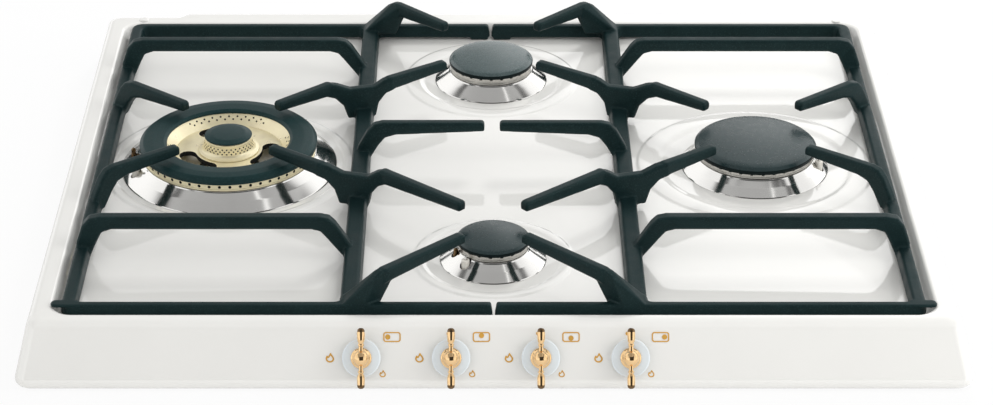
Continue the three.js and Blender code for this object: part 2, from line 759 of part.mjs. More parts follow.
// Ends a finger's side view with a rounded tip, drawn from the underside to the top.
function roundedTip(shape, length) {
  const under = SUPPORT_TOP - FINGER_TIP_DEPTH;
  shape.lineTo(length - 1, under);
  shape.quadraticCurveTo(length, under, length, under + 1.5);
  shape.lineTo(length, SUPPORT_TOP - 2);
  shape.quadraticCurveTo(length, SUPPORT_TOP, length - 2.5, SUPPORT_TOP);
}

// Level finger with no leg, from the end of a web to its tip.
function fingerArm(from, tip) {
  const length = distance(from, tip);
  const shape = new THREE.Shape();
  shape.moveTo(-2, SUPPORT_TOP);
  shape.lineTo(-2, SUPPORT_TOP - FINGER_ROOT_DEPTH);
  roundedTip(shape, length);
  shape.closePath();
  return blade(shape, from, tip, FINGER_WIDTH, FINGER_CHAMFER);
}

// Finger that rises from a bar on its own leg.
function finger(from, tip) {
  const length = distance(from, tip);
  const under = SUPPORT_TOP - FINGER_ROOT_DEPTH;
  const shape = new THREE.Shape();
  shape.moveTo(-4, FRAME_LOW + 2);
  shape.lineTo(5.5, FRAME_LOW + 2);
  shape.lineTo(12, 6);
  shape.quadraticCurveTo(15.5, under, 24, under + 0.4);
  roundedTip(shape, length);
  shape.lineTo(15, SUPPORT_TOP);
  shape.quadraticCurveTo(8, SUPPORT_TOP, 4.5, 17);
  shape.lineTo(-2, 5);
  shape.closePath();
  return blade(shape, from, tip, FINGER_WIDTH, FINGER_CHAMFER);
}

// Finger whose broad root fills the corner between the cross bar and an end bar, at the edge y = end.
function cornerFinger(end, kneeInset, tip) {
  const inward = -Math.sign(end);
  const knee = [-CROSS_BAR_X + CORNER_KNEE.x, end + inward * kneeInset];
  const run = new THREE.Vector2(tip[0] - knee[0], tip[1] - knee[1]).normalize();
  const base = [
    [-CROSS_BAR / 2, 1.5],
    [CROSS_BAR * 0.7, 1.5],
    [CROSS_BAR * 1.45, 9],
    [CROSS_BAR * 1.45, 15],
    [-CROSS_BAR / 2, 15],
  ];
  const low = RIM + FRAME_TOP - 2.5;
  const points = base.map(([x, y]) => new THREE.Vector3(-CROSS_BAR_X + x, end + inward * y, low));
  const half = FINGER_WIDTH / 2 - FINGER_CHAMFER - GAP / 2; // just inside the arm
  for (const side of [-half, half]) {
    const sections = [[-5, 3.5], [0, 0.6], [5, 0.1], [9, 0.1], [9, FINGER_ROOT_DEPTH - 0.7]];
    for (const [s, below] of sections) {
      const plan = [knee[0] + run.x * s - run.y * side, knee[1] + run.y * s + run.x * side];
      points.push(new THREE.Vector3(...plan, RIM + SUPPORT_TOP - below));
    }
  }
  return [new ConvexGeometry(points), fingerArm([knee[0] + run.x * 5, knee[1] + run.y * 5], tip)];
}

// Saddle over the cross bar between two level fingers.
function saddle(from, to) {
  const length = distance(from, to);
  const under = SUPPORT_TOP - FINGER_ROOT_DEPTH;
  const shape = new THREE.Shape();
  shape.moveTo(-2, SUPPORT_TOP);
  shape.lineTo(-2, under);
  shape.quadraticCurveTo(5, under, length * 0.24, 5);
  shape.lineTo(length * 0.31, FRAME_LOW + 2);
  shape.lineTo(length * 0.75, FRAME_LOW + 2);
  shape.lineTo(length * 0.8, 5);
  shape.quadraticCurveTo(length - 4, under, length + 2, under);
  shape.lineTo(length + 2, SUPPORT_TOP);
  shape.quadraticCurveTo(length - 5, SUPPORT_TOP, length * 0.74, SADDLE_TOP);
  shape.lineTo(length * 0.36, SADDLE_TOP);
  shape.quadraticCurveTo(6, SUPPORT_TOP, -2, SUPPORT_TOP);
  shape.closePath();
  return blade(shape, from, to, FINGER_WIDTH, FINGER_CHAMFER);
}

// Bridge across the frame from the side bar to the cross bar.
function bridge(y) {
  const under = SUPPORT_TOP - BRIDGE_DEPTH;
  const left = -FRAME_SIDE;
  const right = -CROSS_BAR_X + CROSS_BAR / 2;
  const shape = new THREE.Shape();
  shape.moveTo(left + 2, FRAME_LOW + 2);
  shape.lineTo(left + 10.5, FRAME_LOW + 2);
  shape.lineTo(left + 15, 5);
  shape.quadraticCurveTo(left + 17, under, left + 25, under);
  shape.lineTo(right - 34, under);
  shape.quadraticCurveTo(right - 27, under, right - 24, 8);
  shape.lineTo(right - 14, FRAME_LOW + 2);
  shape.lineTo(right - 3.5, FRAME_LOW + 2);
  shape.lineTo(right - 11, 7);
  shape.lineTo(right - 18, 18);
  shape.quadraticCurveTo(right - 21, SUPPORT_TOP, right - 28, SUPPORT_TOP);
  shape.lineTo(left + 17, SUPPORT_TOP);
  shape.quadraticCurveTo(left + 9, SUPPORT_TOP, left + 6, 17);
  shape.lineTo(left + 1.5, 4);
  shape.closePath();
  return blade(shape, [0, y], [1, y], BRIDGE_WIDTH, FINGER_CHAMFER);
}

// Frame in plan: side, cross and end bars, the end bars running on to the middle of the hob.
function frame() {
  const [left, right] = [-FRAME_SIDE, -FRAME_MIDDLE / 2];
  const [crossLeft, crossRight] = [-CROSS_BAR_X - CROSS_BAR / 2, -CROSS_BAR_X + CROSS_BAR / 2];
  const radius = FRAME_CORNER;
  const shape = new THREE.Shape();
  shape.moveTo(right, -FRAME_FRONT);
  shape.lineTo(right, -FRAME_FRONT + END_BAR);
  shape.lineTo(crossRight + 4, -FRAME_FRONT + END_BAR);
  shape.quadraticCurveTo(crossRight, -FRAME_FRONT + END_BAR, crossRight, -FRAME_FRONT + END_BAR + 4);
  shape.lineTo(crossRight, FRAME_REAR - END_BAR - 4);
  shape.quadraticCurveTo(crossRight, FRAME_REAR - END_BAR, crossRight + 4, FRAME_REAR - END_BAR);
  shape.lineTo(right, FRAME_REAR - END_BAR);
  shape.lineTo(right, FRAME_REAR);
  shape.absarc(left + radius, FRAME_REAR - radius, radius, Math.PI / 2, Math.PI, false);
  shape.absarc(left + radius, -FRAME_FRONT + radius, radius, Math.PI, 1.5 * Math.PI, false);
  shape.closePath();
  const window = roundedRectangle(
    [left + SIDE_BAR, crossLeft], [-FRAME_FRONT + END_BAR, FRAME_REAR - END_BAR], 3, true,
  );
  shape.holes.push(window);
  const levels = [
    [RIM + FRAME_LOW, FRAME_CHAMFER],
    [RIM + FRAME_LOW + FRAME_CHAMFER, 0],
    [RIM + FRAME_TOP - FRAME_CHAMFER, FRAME_DRAFT],
    [RIM + FRAME_TOP, FRAME_DRAFT + FRAME_CHAMFER],
  ];
  return tapered(shape, levels, 2);
}

// Ear that runs out of the frame's outer front corner and over the rim.
function ear() {
  const front = -FRAME_FRONT + FRAME_DRAFT;
  const shape = roundedRectangle(
    [-FRAME_SIDE - EAR.reach, -FRAME_SIDE + FRAME_CORNER + EAR.corner], [front, front + EAR.depth], EAR.corner,
  );
  const levels = [
    [RIM + GAP, 0],
    [RIM + FRAME_TOP - EAR.edge, 0],
    [RIM + FRAME_TOP, EAR.edge],
  ];
  return tapered(shape, levels, 3);
}

// Feet under the frame, at [x, y].
function feet() {
  const front = -FRAME_FRONT + END_BAR / 2 + FOOT.inward;
  const rear = FRAME_REAR - END_BAR / 2 - FOOT.inward;
  const places = [];
  for (const x of [-FRAME_SIDE + FOOT.sideInset, -CROSS_BAR_X, -FRAME_MIDDLE / 2 - FOOT.middleInset]) {
    places.push([x, front], [x, rear]);
  }
  return places.map(([x, y]) =>
    block(
      [x - FOOT.length / 2, x + FOOT.length / 2],
      [y - FOOT.width / 2, y + FOOT.width / 2],
      [PAN + GAP, RIM + FRAME_LOW + 1],
    ),
  );
}

// Finger tips from a burner's centre, and the two ends of each web over the cross bar.
const LARGE_TIP = { x: 31.5, y: 32.5 };
const SIDE_ROOT = { rear: 72, front: -74 }; // where the side fingers leave the side bar
const REAR_TIP = { x: 33.3, front: 35.2, back: 28.6 };
const FRONT_TIP = { x: 19.8, front: 23.8, back: 17.2 };
const WEB_REAR = { left: [-116, 60.5], right: [-72, 71.5] };
const WEB_FRONT = { left: [-116, -60], right: [-72, -72] };
const CORNER_KNEE = { x: 18.5, front: 8.5, rear: 8.5 }; // where an end finger levels out, from the bars

function panSupport() {
  const large = BURNERS.left;
  const side = -FRAME_SIDE + SIDE_BAR / 2;
  const pieces = [bridge(BRIDGE_Y), bridge(-BRIDGE_Y)];
  pieces.push(finger([side + 1, SIDE_ROOT.rear], [large.x - LARGE_TIP.x, large.y + LARGE_TIP.y]));
  pieces.push(finger([side + 1, SIDE_ROOT.front], [large.x - LARGE_TIP.x, large.y - LARGE_TIP.y]));
  const [rear, front] = [BURNERS.rear.y, BURNERS.front.y];
  const webs = [
    [WEB_REAR, [large.x + LARGE_TIP.x, large.y + LARGE_TIP.y], [-REAR_TIP.x, rear - REAR_TIP.front]],
    [WEB_FRONT, [large.x + LARGE_TIP.x, large.y - LARGE_TIP.y], [-FRONT_TIP.x, front + FRONT_TIP.back]],
  ];
  for (const [{ left, right }, leftTip, rightTip] of webs) {
    pieces.push(saddle(left, right), fingerArm(left, leftTip), fingerArm(right, rightTip));
  }
  pieces.push(finger([-CROSS_BAR_X, 0], [-5.2, 0]));
  pieces.push(...cornerFinger(FRAME_REAR, CORNER_KNEE.rear, [-REAR_TIP.x, rear + REAR_TIP.back]));
  pieces.push(...cornerFinger(-FRAME_FRONT, CORNER_KNEE.front, [-FRONT_TIP.x, front - FRONT_TIP.front]));
  return joined(frame(), ear(), ...pieces, ...feet());
}

const leftSupport = toGeometry(panSupport());
const rightSupport = tidy(leftSupport.clone().applyMatrix4(new THREE.Matrix4().makeScale(-1, 1, 1)));
add('pan_support_left', leftSupport, IRON);
add('pan_support_right', rightSupport, IRON);

// ---------------------------------------------------------------------------------------------------------
// Controls and taps
// ---------------------------------------------------------------------------------------------------------

// Everything on a spindle is modelled with Z along the spindle and zero on the fascia's face.
function controlDisc() {
  const profile = [
    [SPINDLE_RADIUS + GAP, DISC_LIFT],
    [DISC_RADIUS - 0.8, DISC_LIFT],
    [DISC_RADIUS, DISC_LIFT + 0.8],
    [DISC_RADIUS, DISC_LIFT + DISC_THICK - 1.6],
    [DISC_RADIUS - 1.2, DISC_LIFT + DISC_THICK - 0.5],
    [HANDLE_BOSS + 1, DISC_LIFT + DISC_THICK],
    [SPINDLE_RADIUS + GAP, DISC_LIFT + DISC_THICK],
  ];
  return tidy(turned(profile, ROUND.hidden));
}

function controlHandle() {
  const seat = DISC_LIFT + DISC_THICK + GAP;
  const middle = seat + 4;
  const half = HANDLE_LENGTH / 2;
  const boss = turned([
    [0, seat],
    [HANDLE_BOSS, seat],
    [HANDLE_BOSS, seat + 1.6],
    [HANDLE_BALL, seat + 2.8],
    [HANDLE_BALL, middle + 0.8],
    [HANDLE_BALL * 0.82, middle + 2.9],
    [HANDLE_BALL * 0.42, middle + 4.5],
    [0, middle + 5],
  ], ROUND.small);
  const arm = turned([
    [0, -half],
    [1.3, -half + 0.5],
    [2.1, -half + 3],
    [1.7, -half + 7.5],
    [1.9, -half + 10.5],
    [1.7, -half + 13.5],
    [1.7, half - 13.5],
    [1.9, half - 10.5],
    [1.7, half - 7.5],
    [2.1, half - 3],
    [1.3, half - 0.5],
    [0, half],
  ], ROUND.pin).rotateX(Math.PI / 2).translate(0, 0, middle);
  return toGeometry(joined(boss, arm));
}

function spindle() {
  const inner = -TAP_SHOULDER + 1;
  const shaft = rod(SPINDLE_RADIUS, inner, DISC_LIFT + DISC_THICK, ROUND.small);
  const tang = block(
    [-TANG.width / 2, TANG.width / 2], [-TANG.thick / 2, TANG.thick / 2], [inner - TANG.length, inner + 1],
  );
  return toGeometry(joined(shaft, tang));
}

const PLUG_TOP = -TAP_SHOULDER - 3.5;

function tapPlug() {
  const slot = block(
    [-PLUG_RADIUS - 1, PLUG_RADIUS + 1],
    [-TANG.thick / 2 - GAP, TANG.thick / 2 + GAP],
    [PLUG_TOP - TANG.length, PLUG_TOP + 1],
  );
  return toGeometry(cut(toSolid(rod(PLUG_RADIUS, PLUG_TOP - PLUG_LENGTH, PLUG_TOP, ROUND.small)), slot));
}

// Tap body: a neck that guides the spindle, a chamber for the plug, a foot on the rail and the outlet.
function tapBody() {
  const chamber = [PLUG_TOP - PLUG_LENGTH - GAP, PLUG_TOP + GAP];
  const body = turned([
    [SPINDLE_RADIUS + GAP, -TAP_FRONT],
    [TAP_NECK, -TAP_FRONT],
    [TAP_NECK, -TAP_SHOULDER],
    [TAP_RADIUS, -TAP_SHOULDER],
    [TAP_RADIUS, -TAP_END],
    [0, -TAP_END],
    [0, chamber[0]],
    [PLUG_RADIUS + GAP, chamber[0]],
    [PLUG_RADIUS + GAP, chamber[1]],
    [SPINDLE_RADIUS + GAP, chamber[1]],
  ], ROUND.small).rotateX(Math.PI / 2 - SLOPE);
  const railTop = RAIL.z + RAIL.size / 2 + GAP - CONTROL_Z;
  const railY = RAIL.y - CONTROL_Y;
  const clamp = block([-8, 8], [railY - 6, railY + 6], [railTop, railTop + 13.2]);
  const bore = rod(PLUG_RADIUS + GAP, chamber[0], chamber[1], ROUND.small).rotateX(Math.PI / 2 - SLOPE);
  return toGeometry(cut(joined(clamp, body), bore));
}

const tapGeometry = tapBody();
const plugGeometry = tapPlug();
const spindleGeometry = spindle();
const discGeometry = controlDisc();
const handleGeometry = controlHandle();

for (const { burner, x } of CONTROLS) {
  add(`tap_body_${burner}`, tapGeometry, BRASS).position.set(x, CONTROL_Y, CONTROL_Z);
  const axis = new THREE.Group();
  axis.position.set(x, CONTROL_Y, CONTROL_Z);
  axis.rotation.x = Math.PI / 2 - SLOPE;
  hob.add(axis);
  add(`tap_plug_${burner}`, plugGeometry, BRASS, axis);
  add(`spindle_${burner}`, spindleGeometry, POLISHED, axis);
  add(`control_disc_${burner}`, discGeometry, PORCELAIN, axis);
  add(`control_handle_${burner}`, handleGeometry, GOLD, axis);
}

// ---------------------------------------------------------------------------------------------------------
// Gas rail, inlet and feed tubes
// ---------------------------------------------------------------------------------------------------------

function gasRail() {
  const half = RAIL.size / 2;
  const bore = half - RAIL.wall;
  const tube = (r, left, end) => [
    block([left, RAIL.right + r], [RAIL.y - r, RAIL.y + r], [RAIL.z - r, RAIL.z + r]),
    block([RAIL.right - r, RAIL.right + r], [RAIL.y - r, end], [RAIL.z - r, RAIL.z + r]),
  ];
  const places = [[RAIL.left + 20, RAIL.y], [RAIL.right - 60, RAIL.y], [RAIL.right, RAIL.end - 60]];
  const legs = places.map(([x, y]) => block([x - 6, x + 6], [y - 6, y + 6], [TRAY_SHEET + GAP, RAIL.z]));
  const outside = joined(...tube(half, RAIL.left, RAIL.end), ...legs);
  return toGeometry(cut(outside, ...tube(bore, RAIL.left + RAIL.wall, RAIL.end + 1)));
}

function gasInlet() {
  const half = INLET.body / 2;
  const bore = RAIL.size / 2 - RAIL.wall;
  const front = RAIL.end + GAP;
  const middle = RAIL.end + half;
  const low = RAIL.z - half;
  const body = joined(
    block([RAIL.right - half, RAIL.right + half], [front, front + INLET.body], [low, INLET.top]),
    rod(INLET.thread, GAP, low + 1, ROUND.small).translate(RAIL.right, middle, 0),
  );
  return toGeometry(
    cut(
      body,
      rod(INLET.bore, 0, RAIL.z + bore, ROUND.small).translate(RAIL.right, middle, 0),
      block([RAIL.right - bore, RAIL.right + bore], [front - 1, middle], [RAIL.z - bore, RAIL.z + bore]),
    ),
  );
}

function feedTube(x, burner) {
  const start = new THREE.Vector3(
    x,
    CONTROL_Y + (TAP_END + GAP) * Math.cos(SLOPE),
    CONTROL_Z - (TAP_END + GAP) * Math.sin(SLOPE),
  );
  const along = new THREE.Vector3(0, Math.cos(SLOPE), -Math.sin(SLOPE));
  const cupFloor = PAN - SHEET - GAP - CUP_DEPTH;
  const end = new THREE.Vector3(burner.x, burner.y, cupFloor - 4 * GAP);
  const bend = start.clone().addScaledVector(along, 12);
  bend.z = Math.max(bend.z, FEED_LEVEL - 6);
  const level = new THREE.Vector3(burner.x, burner.y, FEED_LEVEL - 8);
  const near = level.clone().lerp(bend, 12 / bend.distanceTo(level));
  const path = new THREE.CatmullRomCurve3(
    [start, start.clone().addScaledVector(along, 5), bend, bend.clone().lerp(near, 0.5), near,
      new THREE.Vector3(end.x, end.y, end.z - 4).lerp(near, 0.12), end],
    false,
    'centripetal',
  );
  const section = new THREE.Shape().absarc(0, 0, FEED_RADIUS, 0, 2 * Math.PI);
  const settings = { extrudePath: path, steps: 10, curveSegments: ROUND.pin / 2, bevelEnabled: false };
  return tidy(new THREE.ExtrudeGeometry(section, settings));
}

add('gas_rail', gasRail(), GALVANISED);
add('gas_inlet', gasInlet(), BRASS);
for (const { burner, x } of CONTROLS) add(`feed_tube_${burner}`, feedTube(x, BURNERS[burner]), CAST_ALU);

// ---------------------------------------------------------------------------------------------------------
// Ignition unit and mains terminals on the tray's floor
// ---------------------------------------------------------------------------------------------------------

function floorBox({ x, y, length, width, height }) {
  const low = TRAY_SHEET + GAP;
  const outline = roundedRectangle([x - length / 2, x + length / 2], [y - width / 2, y + width / 2], 3);
  return tidy(tapered(outline, [[low, 0], [low + height - 1.5, 0], [low + height, 1.5]], 2));
}

add('igniter', floorBox(IGNITER), PLASTIC);
add('mains_terminals', floorBox(TERMINALS), PLASTIC);

export default hob;
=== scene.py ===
"""A 60 cm built-in gas hob, dressed over its CAD frame: enamelled top, cast-iron pan supports, four burners
and four gilt controls. Sizes are in millimetres and are turned to metres when a mesh is made."""

import math

import bmesh
import bpy
from mathutils import Matrix, Vector
from mathutils.geometry import delaunay_2d_cdt


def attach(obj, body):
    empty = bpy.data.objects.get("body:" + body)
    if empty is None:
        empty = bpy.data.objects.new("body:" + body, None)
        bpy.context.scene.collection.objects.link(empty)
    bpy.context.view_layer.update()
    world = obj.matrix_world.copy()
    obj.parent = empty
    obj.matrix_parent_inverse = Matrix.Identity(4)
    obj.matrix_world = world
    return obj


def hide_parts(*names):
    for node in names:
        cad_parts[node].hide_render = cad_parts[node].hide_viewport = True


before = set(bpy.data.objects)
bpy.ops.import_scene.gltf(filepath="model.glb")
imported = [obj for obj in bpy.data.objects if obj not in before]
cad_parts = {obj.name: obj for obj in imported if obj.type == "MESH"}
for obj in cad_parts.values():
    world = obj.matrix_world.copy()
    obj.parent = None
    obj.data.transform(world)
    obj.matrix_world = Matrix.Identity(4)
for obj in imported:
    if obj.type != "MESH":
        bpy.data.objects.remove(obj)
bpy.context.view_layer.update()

MM = 0.001

# ------------------------------------------------------------
# Sizes, as in the part's source (millimetres)
# ------------------------------------------------------------

GAP = 0.3  # between pieces that lie on each other
WORKTOP = 42.0
RIM = 83.5
RIM_HEIGHT = RIM - WORKTOP
PAN_DEPTH = 9.0
PAN = RIM - PAN_DEPTH
SHEET = 1.2
# Each side of the top: its upper edge, how far the skirt leans out below that, and the edge's radius.
TOP_SIDE = dict(edge=290, flare=10, rounding=6)
TOP_FRONT = dict(edge=230, flare=22.3, rounding=10)
TOP_REAR = dict(edge=226, flare=27, rounding=8)
TOP_CORNER = 7.0
LIP_RADIUS = 7.0
REAR_STEP = 6.5  # the middle of the rear edge stands this much further back
REAR_STEP_HALF = 229.0
REAR_STEP_RUN = 9.0
FLANGE_WIDTH = 14.0
FLANGE_RISE = 2.7
PAN_SIDE = 277.3
PAN_FRONT = 221.5
PAN_REAR = 214.0
PAN_WALL_RUN = 4.5
PAN_CORNER = 14.0
PAN_EDGE_RADIUS = 2.5
PAN_FILLET = 4.0
HINGE_PLUGS = {"left": (-263.6, 218.6), "right": (262.8, 217.1)}

# Each burner's middle; the radii of its skirt's foot (cone), crown, cap and neck; the heights above the rim
# of its crown's base and its cap's underside (edge); the heights of the cap's side and dome; (radius,
# degrees) of its probes; the number of its flame ports (notches); and the outer and inner slopes of the ring
# embossed round it, each as the radii of its ends.
BURNERS = {
    "right": dict(
        x=181.8, y=-2.7, cone=51, crown=40.3, base=1.2, cap=42, edge=5.1, side=3.9, dome=3, neck=20,
        electrode=(44.8, -17), thermocouple=(44.8, 100), notches=33, rings=((82.4, 79.2), (69.5, 62.5)),
    ),
    "rear": dict(
        x=0, y=133.6, cone=41.1, crown=29.3, base=0.2, cap=30.7, edge=5.5, side=3.5, dome=2.5, neck=16,
        electrode=(34, 75), thermocouple=(34, 110), notches=24, rings=((64.2, 61), (53, 48.5)),
    ),
    "front": dict(
        x=0, y=-134.6, cone=35, crown=22.6, base=0.7, cap=24, edge=4.9, side=2.7, dome=2.5, neck=13,
        electrode=(26.2, 227), thermocouple=(25.2, 196), notches=19, rings=((53.6, 50.4), (47.5, 43.5)),
    ),
    "left": dict(
        x=-181.8, y=-2.7, cone=74.5, crown=59.4, base=2, cap=61.2, edge=6.6, side=5.4, dome=0.6, neck=20,
        electrode=(66.5, 201), thermocouple=(66.5, 177), notches=53, rings=((87.2, 84), (81, 78)),
    ),
}
RING_RISE = 0.75  # embossed ring above the pan
CROWN_WALL = 3.2
CROWN_FLOOR = 2.4
CROWN_NECK = 2.6  # wall of its neck
CUP_DEPTH = 34
CUP_WALL = 2.5
NECK_END = PAN - CUP_DEPTH * 0.6
NOTCH = dict(half=1.05, lip=0.02, depth=1.5)  # half its width, the run of its side walls, and its depth
RING_HOLE = 42.3
RING_CAP_STEP = 2.4  # its inner edge is this thick
TROUGH_DEPTH = 3.4
DECK_OUTER = 37.0
DECK_HEIGHT = 3.4
DECK_TOP = RIM + DECK_HEIGHT
DECK_OPENING = dict(count=3, inner=23, outer=35, span=70, first=102)  # radii, and angles in degrees
SIDE_PORTS = dict(port=1.1, depth=2.0)
SLOPE_PORTS = dict(count=44, port=0.7, depth=1.2, groups=(98, 41))
SLOPE_ROWS = (0, 0.12, 0.36, 0.58, 1)  # down the slope
CENTRE_PORTS = dict(count=34, port=0.56, depth=1.2)
CENTRE = dict(crown=18, foot=21, base=3.7, wall=4.6, cap=16.5, edge=13.9, side=1.1, dome=1.8)
CERAMIC_RADIUS = 2.7
CERAMIC_TOP = RIM + 0.8
PROBE_RADIUS = 1.9
PROBE_TOP = RIM + 2.4
PROBE_LOW = PAN - 21
PROBE_CLEARANCE = 1

SLOPE = math.atan2(TOP_FRONT["flare"], RIM_HEIGHT)
TILT = Matrix.Rotation(math.pi / 2 - SLOPE, 3, "X")  # turns Z to the fascia's normal
CONTROL_DROP = 22.5  # down the fascia from the rim's edge
CONTROL_Y = -(TOP_FRONT["edge"] + CONTROL_DROP * math.sin(SLOPE))
CONTROL_Z = RIM - CONTROL_DROP * math.cos(SLOPE)
CONTROL_MIDDLE = 1.2
CONTROL_PITCH = 55.5
CONTROLS = {
    name: CONTROL_MIDDLE + (i - 1.5) * CONTROL_PITCH
    for i, name in enumerate(("left", "rear", "front", "right"))
}
SPINDLE_RADIUS = 4.0
DISC_RADIUS = 12.0
DISC_LIFT = 3.6
DISC_THICK = 3.4
HANDLE_HALF = 18.8
BALL_RADIUS = 4.85
CUT_OUT = (281, 229, 10)  # half width, half depth and corner radius of the worktop's opening

# How many sides a turned shape has.
RING_SIDES = 144
CROWN_SIDES = 128
CENTRE_SIDES = 104
DISC_SIDES = 96
HUB_SIDES = 56
PLUG_SIDES = 40
PROBE_SIDES = 32
GRIP_SIDES = 28

# ------------------------------------------------------------
# Camera and materials
# ------------------------------------------------------------

scene = bpy.context.scene
scene.view_settings.view_transform = "Standard"

CAMERA_DOWN = 28.26  # degrees below the horizon

camera_data = bpy.data.cameras.new("camera")
camera_data.sensor_width = 36.0
camera_data.lens = 101.26
camera_data.shift_x = 0.0217
camera = bpy.data.objects.new("camera", camera_data)
camera.location = (-0.0118, -1.7204, 0.9682)
camera.rotation_euler = (math.radians(90 - CAMERA_DOWN), 0, 0)
scene.collection.objects.link(camera)
scene.camera = camera


class Nodes:
    """A node tree, with short calls to add nodes and join them."""

    def __init__(self, owner):
        owner.use_nodes = True
        self.tree = owner.node_tree
        self.tree.nodes.clear()

    def add(self, kind, settings=None, **inputs):
        """A new node. An input is named, with _ for each space, or numbered, as in i0."""
        node = self.tree.nodes.new("ShaderNode" + kind)
        for key, value in (settings or {}).items():
            setattr(node, key, value)
        for key, value in inputs.items():
            numbered = key[0] == "i" and key[1:].isdigit()
            socket = node.inputs[int(key[1:]) if numbered else key.replace("_", " ")]
            if isinstance(value, bpy.types.NodeSocket):
                self.tree.links.new(value, socket)
            else:
                socket.default_value = value
        return node

    def ramp(self, factor, stops):
        node = self.add("ValToRGB", i0=factor)
        elements = node.color_ramp.elements
        while len(elements) < len(stops):
            elements.new(0.5)
        for element, (position, colour) in zip(elements, stops):
            element.position = position
            element.color = (*colour, 1)
        return node.outputs[0]

    def math(self, operation, a, b=0.0):
        return self.add("Math", {"operation": operation}, i0=a, i1=b).outputs[0]


def linear(*levels):
    """An sRGB colour of 0 to 255 as linear light."""
    shares = [level / 255 for level in levels]
    return tuple(c / 12.92 if c <= 0.04045 else ((c + 0.055) / 1.055) ** 2.4 for c in shares)


def finish(name, colour, roughness, metallic, clouds, relief, turned=0.0, coat=0.0, coat_roughness=0.05,
           ior=1.5, specular=0.5, tint=(1, 1, 1), speckle=None):
    """A procedural material. clouds: how much the colour varies, the size of its clouds in mm, and how much
    the roughness varies. relief: the strength of a bump, its grain in mm and its depth in mm. turned: mm
    between fine turning marks. speckle: the colour of specks as fine as the grain."""
    vary, spot, rough_vary = clouds
    bump, grain, depth = relief
    material = bpy.data.materials.new(name)
    t = Nodes(material)
    place = t.add("TexCoord").outputs["Object"]
    cloud = t.add("TexNoise", Vector=place, Scale=1 / (spot * MM), Detail=3.0).outputs["Fac"]
    dark = tuple(c * (1 - vary) for c in colour)
    light = tuple(min(1, c * (1 + vary)) for c in colour)
    paint = t.ramp(cloud, [(0.3, dark), (0.7, light)])
    fine = t.add("TexNoise", Vector=place, Scale=1 / (grain * MM), Detail=2.0).outputs["Fac"]
    if speckle:
        amount = t.ramp(fine, [(0.52, (0, 0, 0)), (0.72, (1, 1, 1))])
        paint = t.add("Mix", {"data_type": "RGBA"}, i0=amount, i6=paint, i7=(*speckle, 1)).outputs[2]
    smoothest = max(0.02, roughness - rough_vary)
    rough = t.add("MapRange", i0=cloud, i1=0.25, i2=0.75, i3=smoothest, i4=roughness + rough_vary)
    height = fine
    if turned:
        x, y, z = t.add("SeparateXYZ", i0=place).outputs
        radius = t.math("SQRT", t.math("ADD", t.math("POWER", x, 2.0), t.math("POWER", y, 2.0)))
        along = t.add("CombineXYZ", i0=radius, i1=z).outputs[0]
        lines = t.add("TexNoise", Vector=along, Scale=1 / (turned * MM), Detail=1.0).outputs["Fac"]
        height = t.math("ADD", t.math("MULTIPLY", fine, 0.3), lines)
    normal = t.add("Bump", Strength=bump, Distance=depth * MM, Height=height).outputs[0]
    shader = t.add("BsdfPrincipled", Base_Color=paint, Roughness=rough.outputs[0], Normal=normal)
    for socket, value in (
        ("Metallic", metallic), ("IOR", ior), ("Specular IOR Level", specular), ("Specular Tint", (*tint, 1)),
        ("Coat Weight", coat), ("Coat Roughness", coat_roughness),
    ):
        shader.inputs[socket].default_value = value
    t.add("OutputMaterial", Surface=shader.outputs[0])
    return material


ENAMEL = finish(
    "enamel", linear(242, 241, 237), 0.07, 0, (0.012, 60, 0.02), (0.06, 9, 0.03),
    coat=0.7, coat_roughness=0.03, ior=1.6,
)
IRON = finish(
    "iron", linear(19, 37, 38), 0.45, 0, (0.14, 9, 0.08), (0.5, 0.8, 0.12),
    specular=0.2, tint=(0.78, 1, 1), speckle=linear(34, 52, 53),
)
CAP_ENAMEL = finish(
    "cap_enamel", linear(20, 41, 43), 0.29, 0, (0.1, 5, 0.05), (0.6, 0.8, 0.07),
    specular=0.62, tint=(0.93, 1, 1), speckle=linear(42, 56, 57),
)
CAP_DULL = finish(
    "cap_enamel_dull", linear(22, 46, 47), 0.38, 0, (0.1, 5, 0.05), (0.5, 0.8, 0.06),
    specular=0.22, tint=(0.75, 1, 1), speckle=linear(38, 60, 61),
)
# The rear cap's enamel: glossier, and painted lighter than the other caps as painted light, for the light
# that cap catches.
CAP_GLOSS_LIT = finish(
    "cap_enamel_gloss_painted_light", linear(52, 70, 71), 0.26, 0, (0.1, 5, 0.05), (0.45, 0.8, 0.05),
    specular=1.0, tint=(0.96, 1, 1), speckle=linear(78, 92, 92),
)
# Darker enamel for a cap's rounded edge below its top: painted shade.
CAP_EDGE_SHADE = finish(
    "cap_edge_painted_shade", linear(13, 24, 25), 0.4, 0, (0.2, 4, 0.06), (0.4, 0.7, 0.05),
    specular=0.12, tint=(0.85, 1, 1),
)
POLISHED = finish(
    "polished_steel", (0.88, 0.87, 0.845), 0.12, 1.0, (0.02, 20, 0.03), (0.08, 2.5, 0.02), turned=0.4,
)
CAST_ALU = finish("cast_aluminium", (0.62, 0.6, 0.56), 0.34, 1.0, (0.08, 6, 0.08), (0.3, 0.7, 0.05))
CHAMPAGNE = finish(
    "champagne_alloy", linear(252, 240, 204), 0.32, 0.5, (0.05, 7, 0.06), (0.3, 0.6, 0.04), turned=0.7,
)
GOLD = finish("gold", linear(244, 206, 154), 0.06, 1.0, (0.04, 6, 0.04), (0.1, 1.2, 0.02))
ICON_GOLD = finish("icon_gold", linear(210, 158, 62), 0.45, 0, (0.06, 4, 0.06), (0.2, 0.4, 0.02))
PORCELAIN = finish("porcelain", linear(226, 233, 236), 0.1, 0, (0.02, 8, 0.03), (0.08, 3, 0.02), coat=0.4)
CERAMIC = finish("ceramic", linear(238, 234, 224), 0.22, 0, (0.04, 3, 0.05), (0.15, 0.6, 0.03), coat=0.3)
GALVANISED = finish("galvanised", (0.5, 0.52, 0.54), 0.38, 0.9, (0.16, 11, 0.1), (0.25, 4, 0.05))
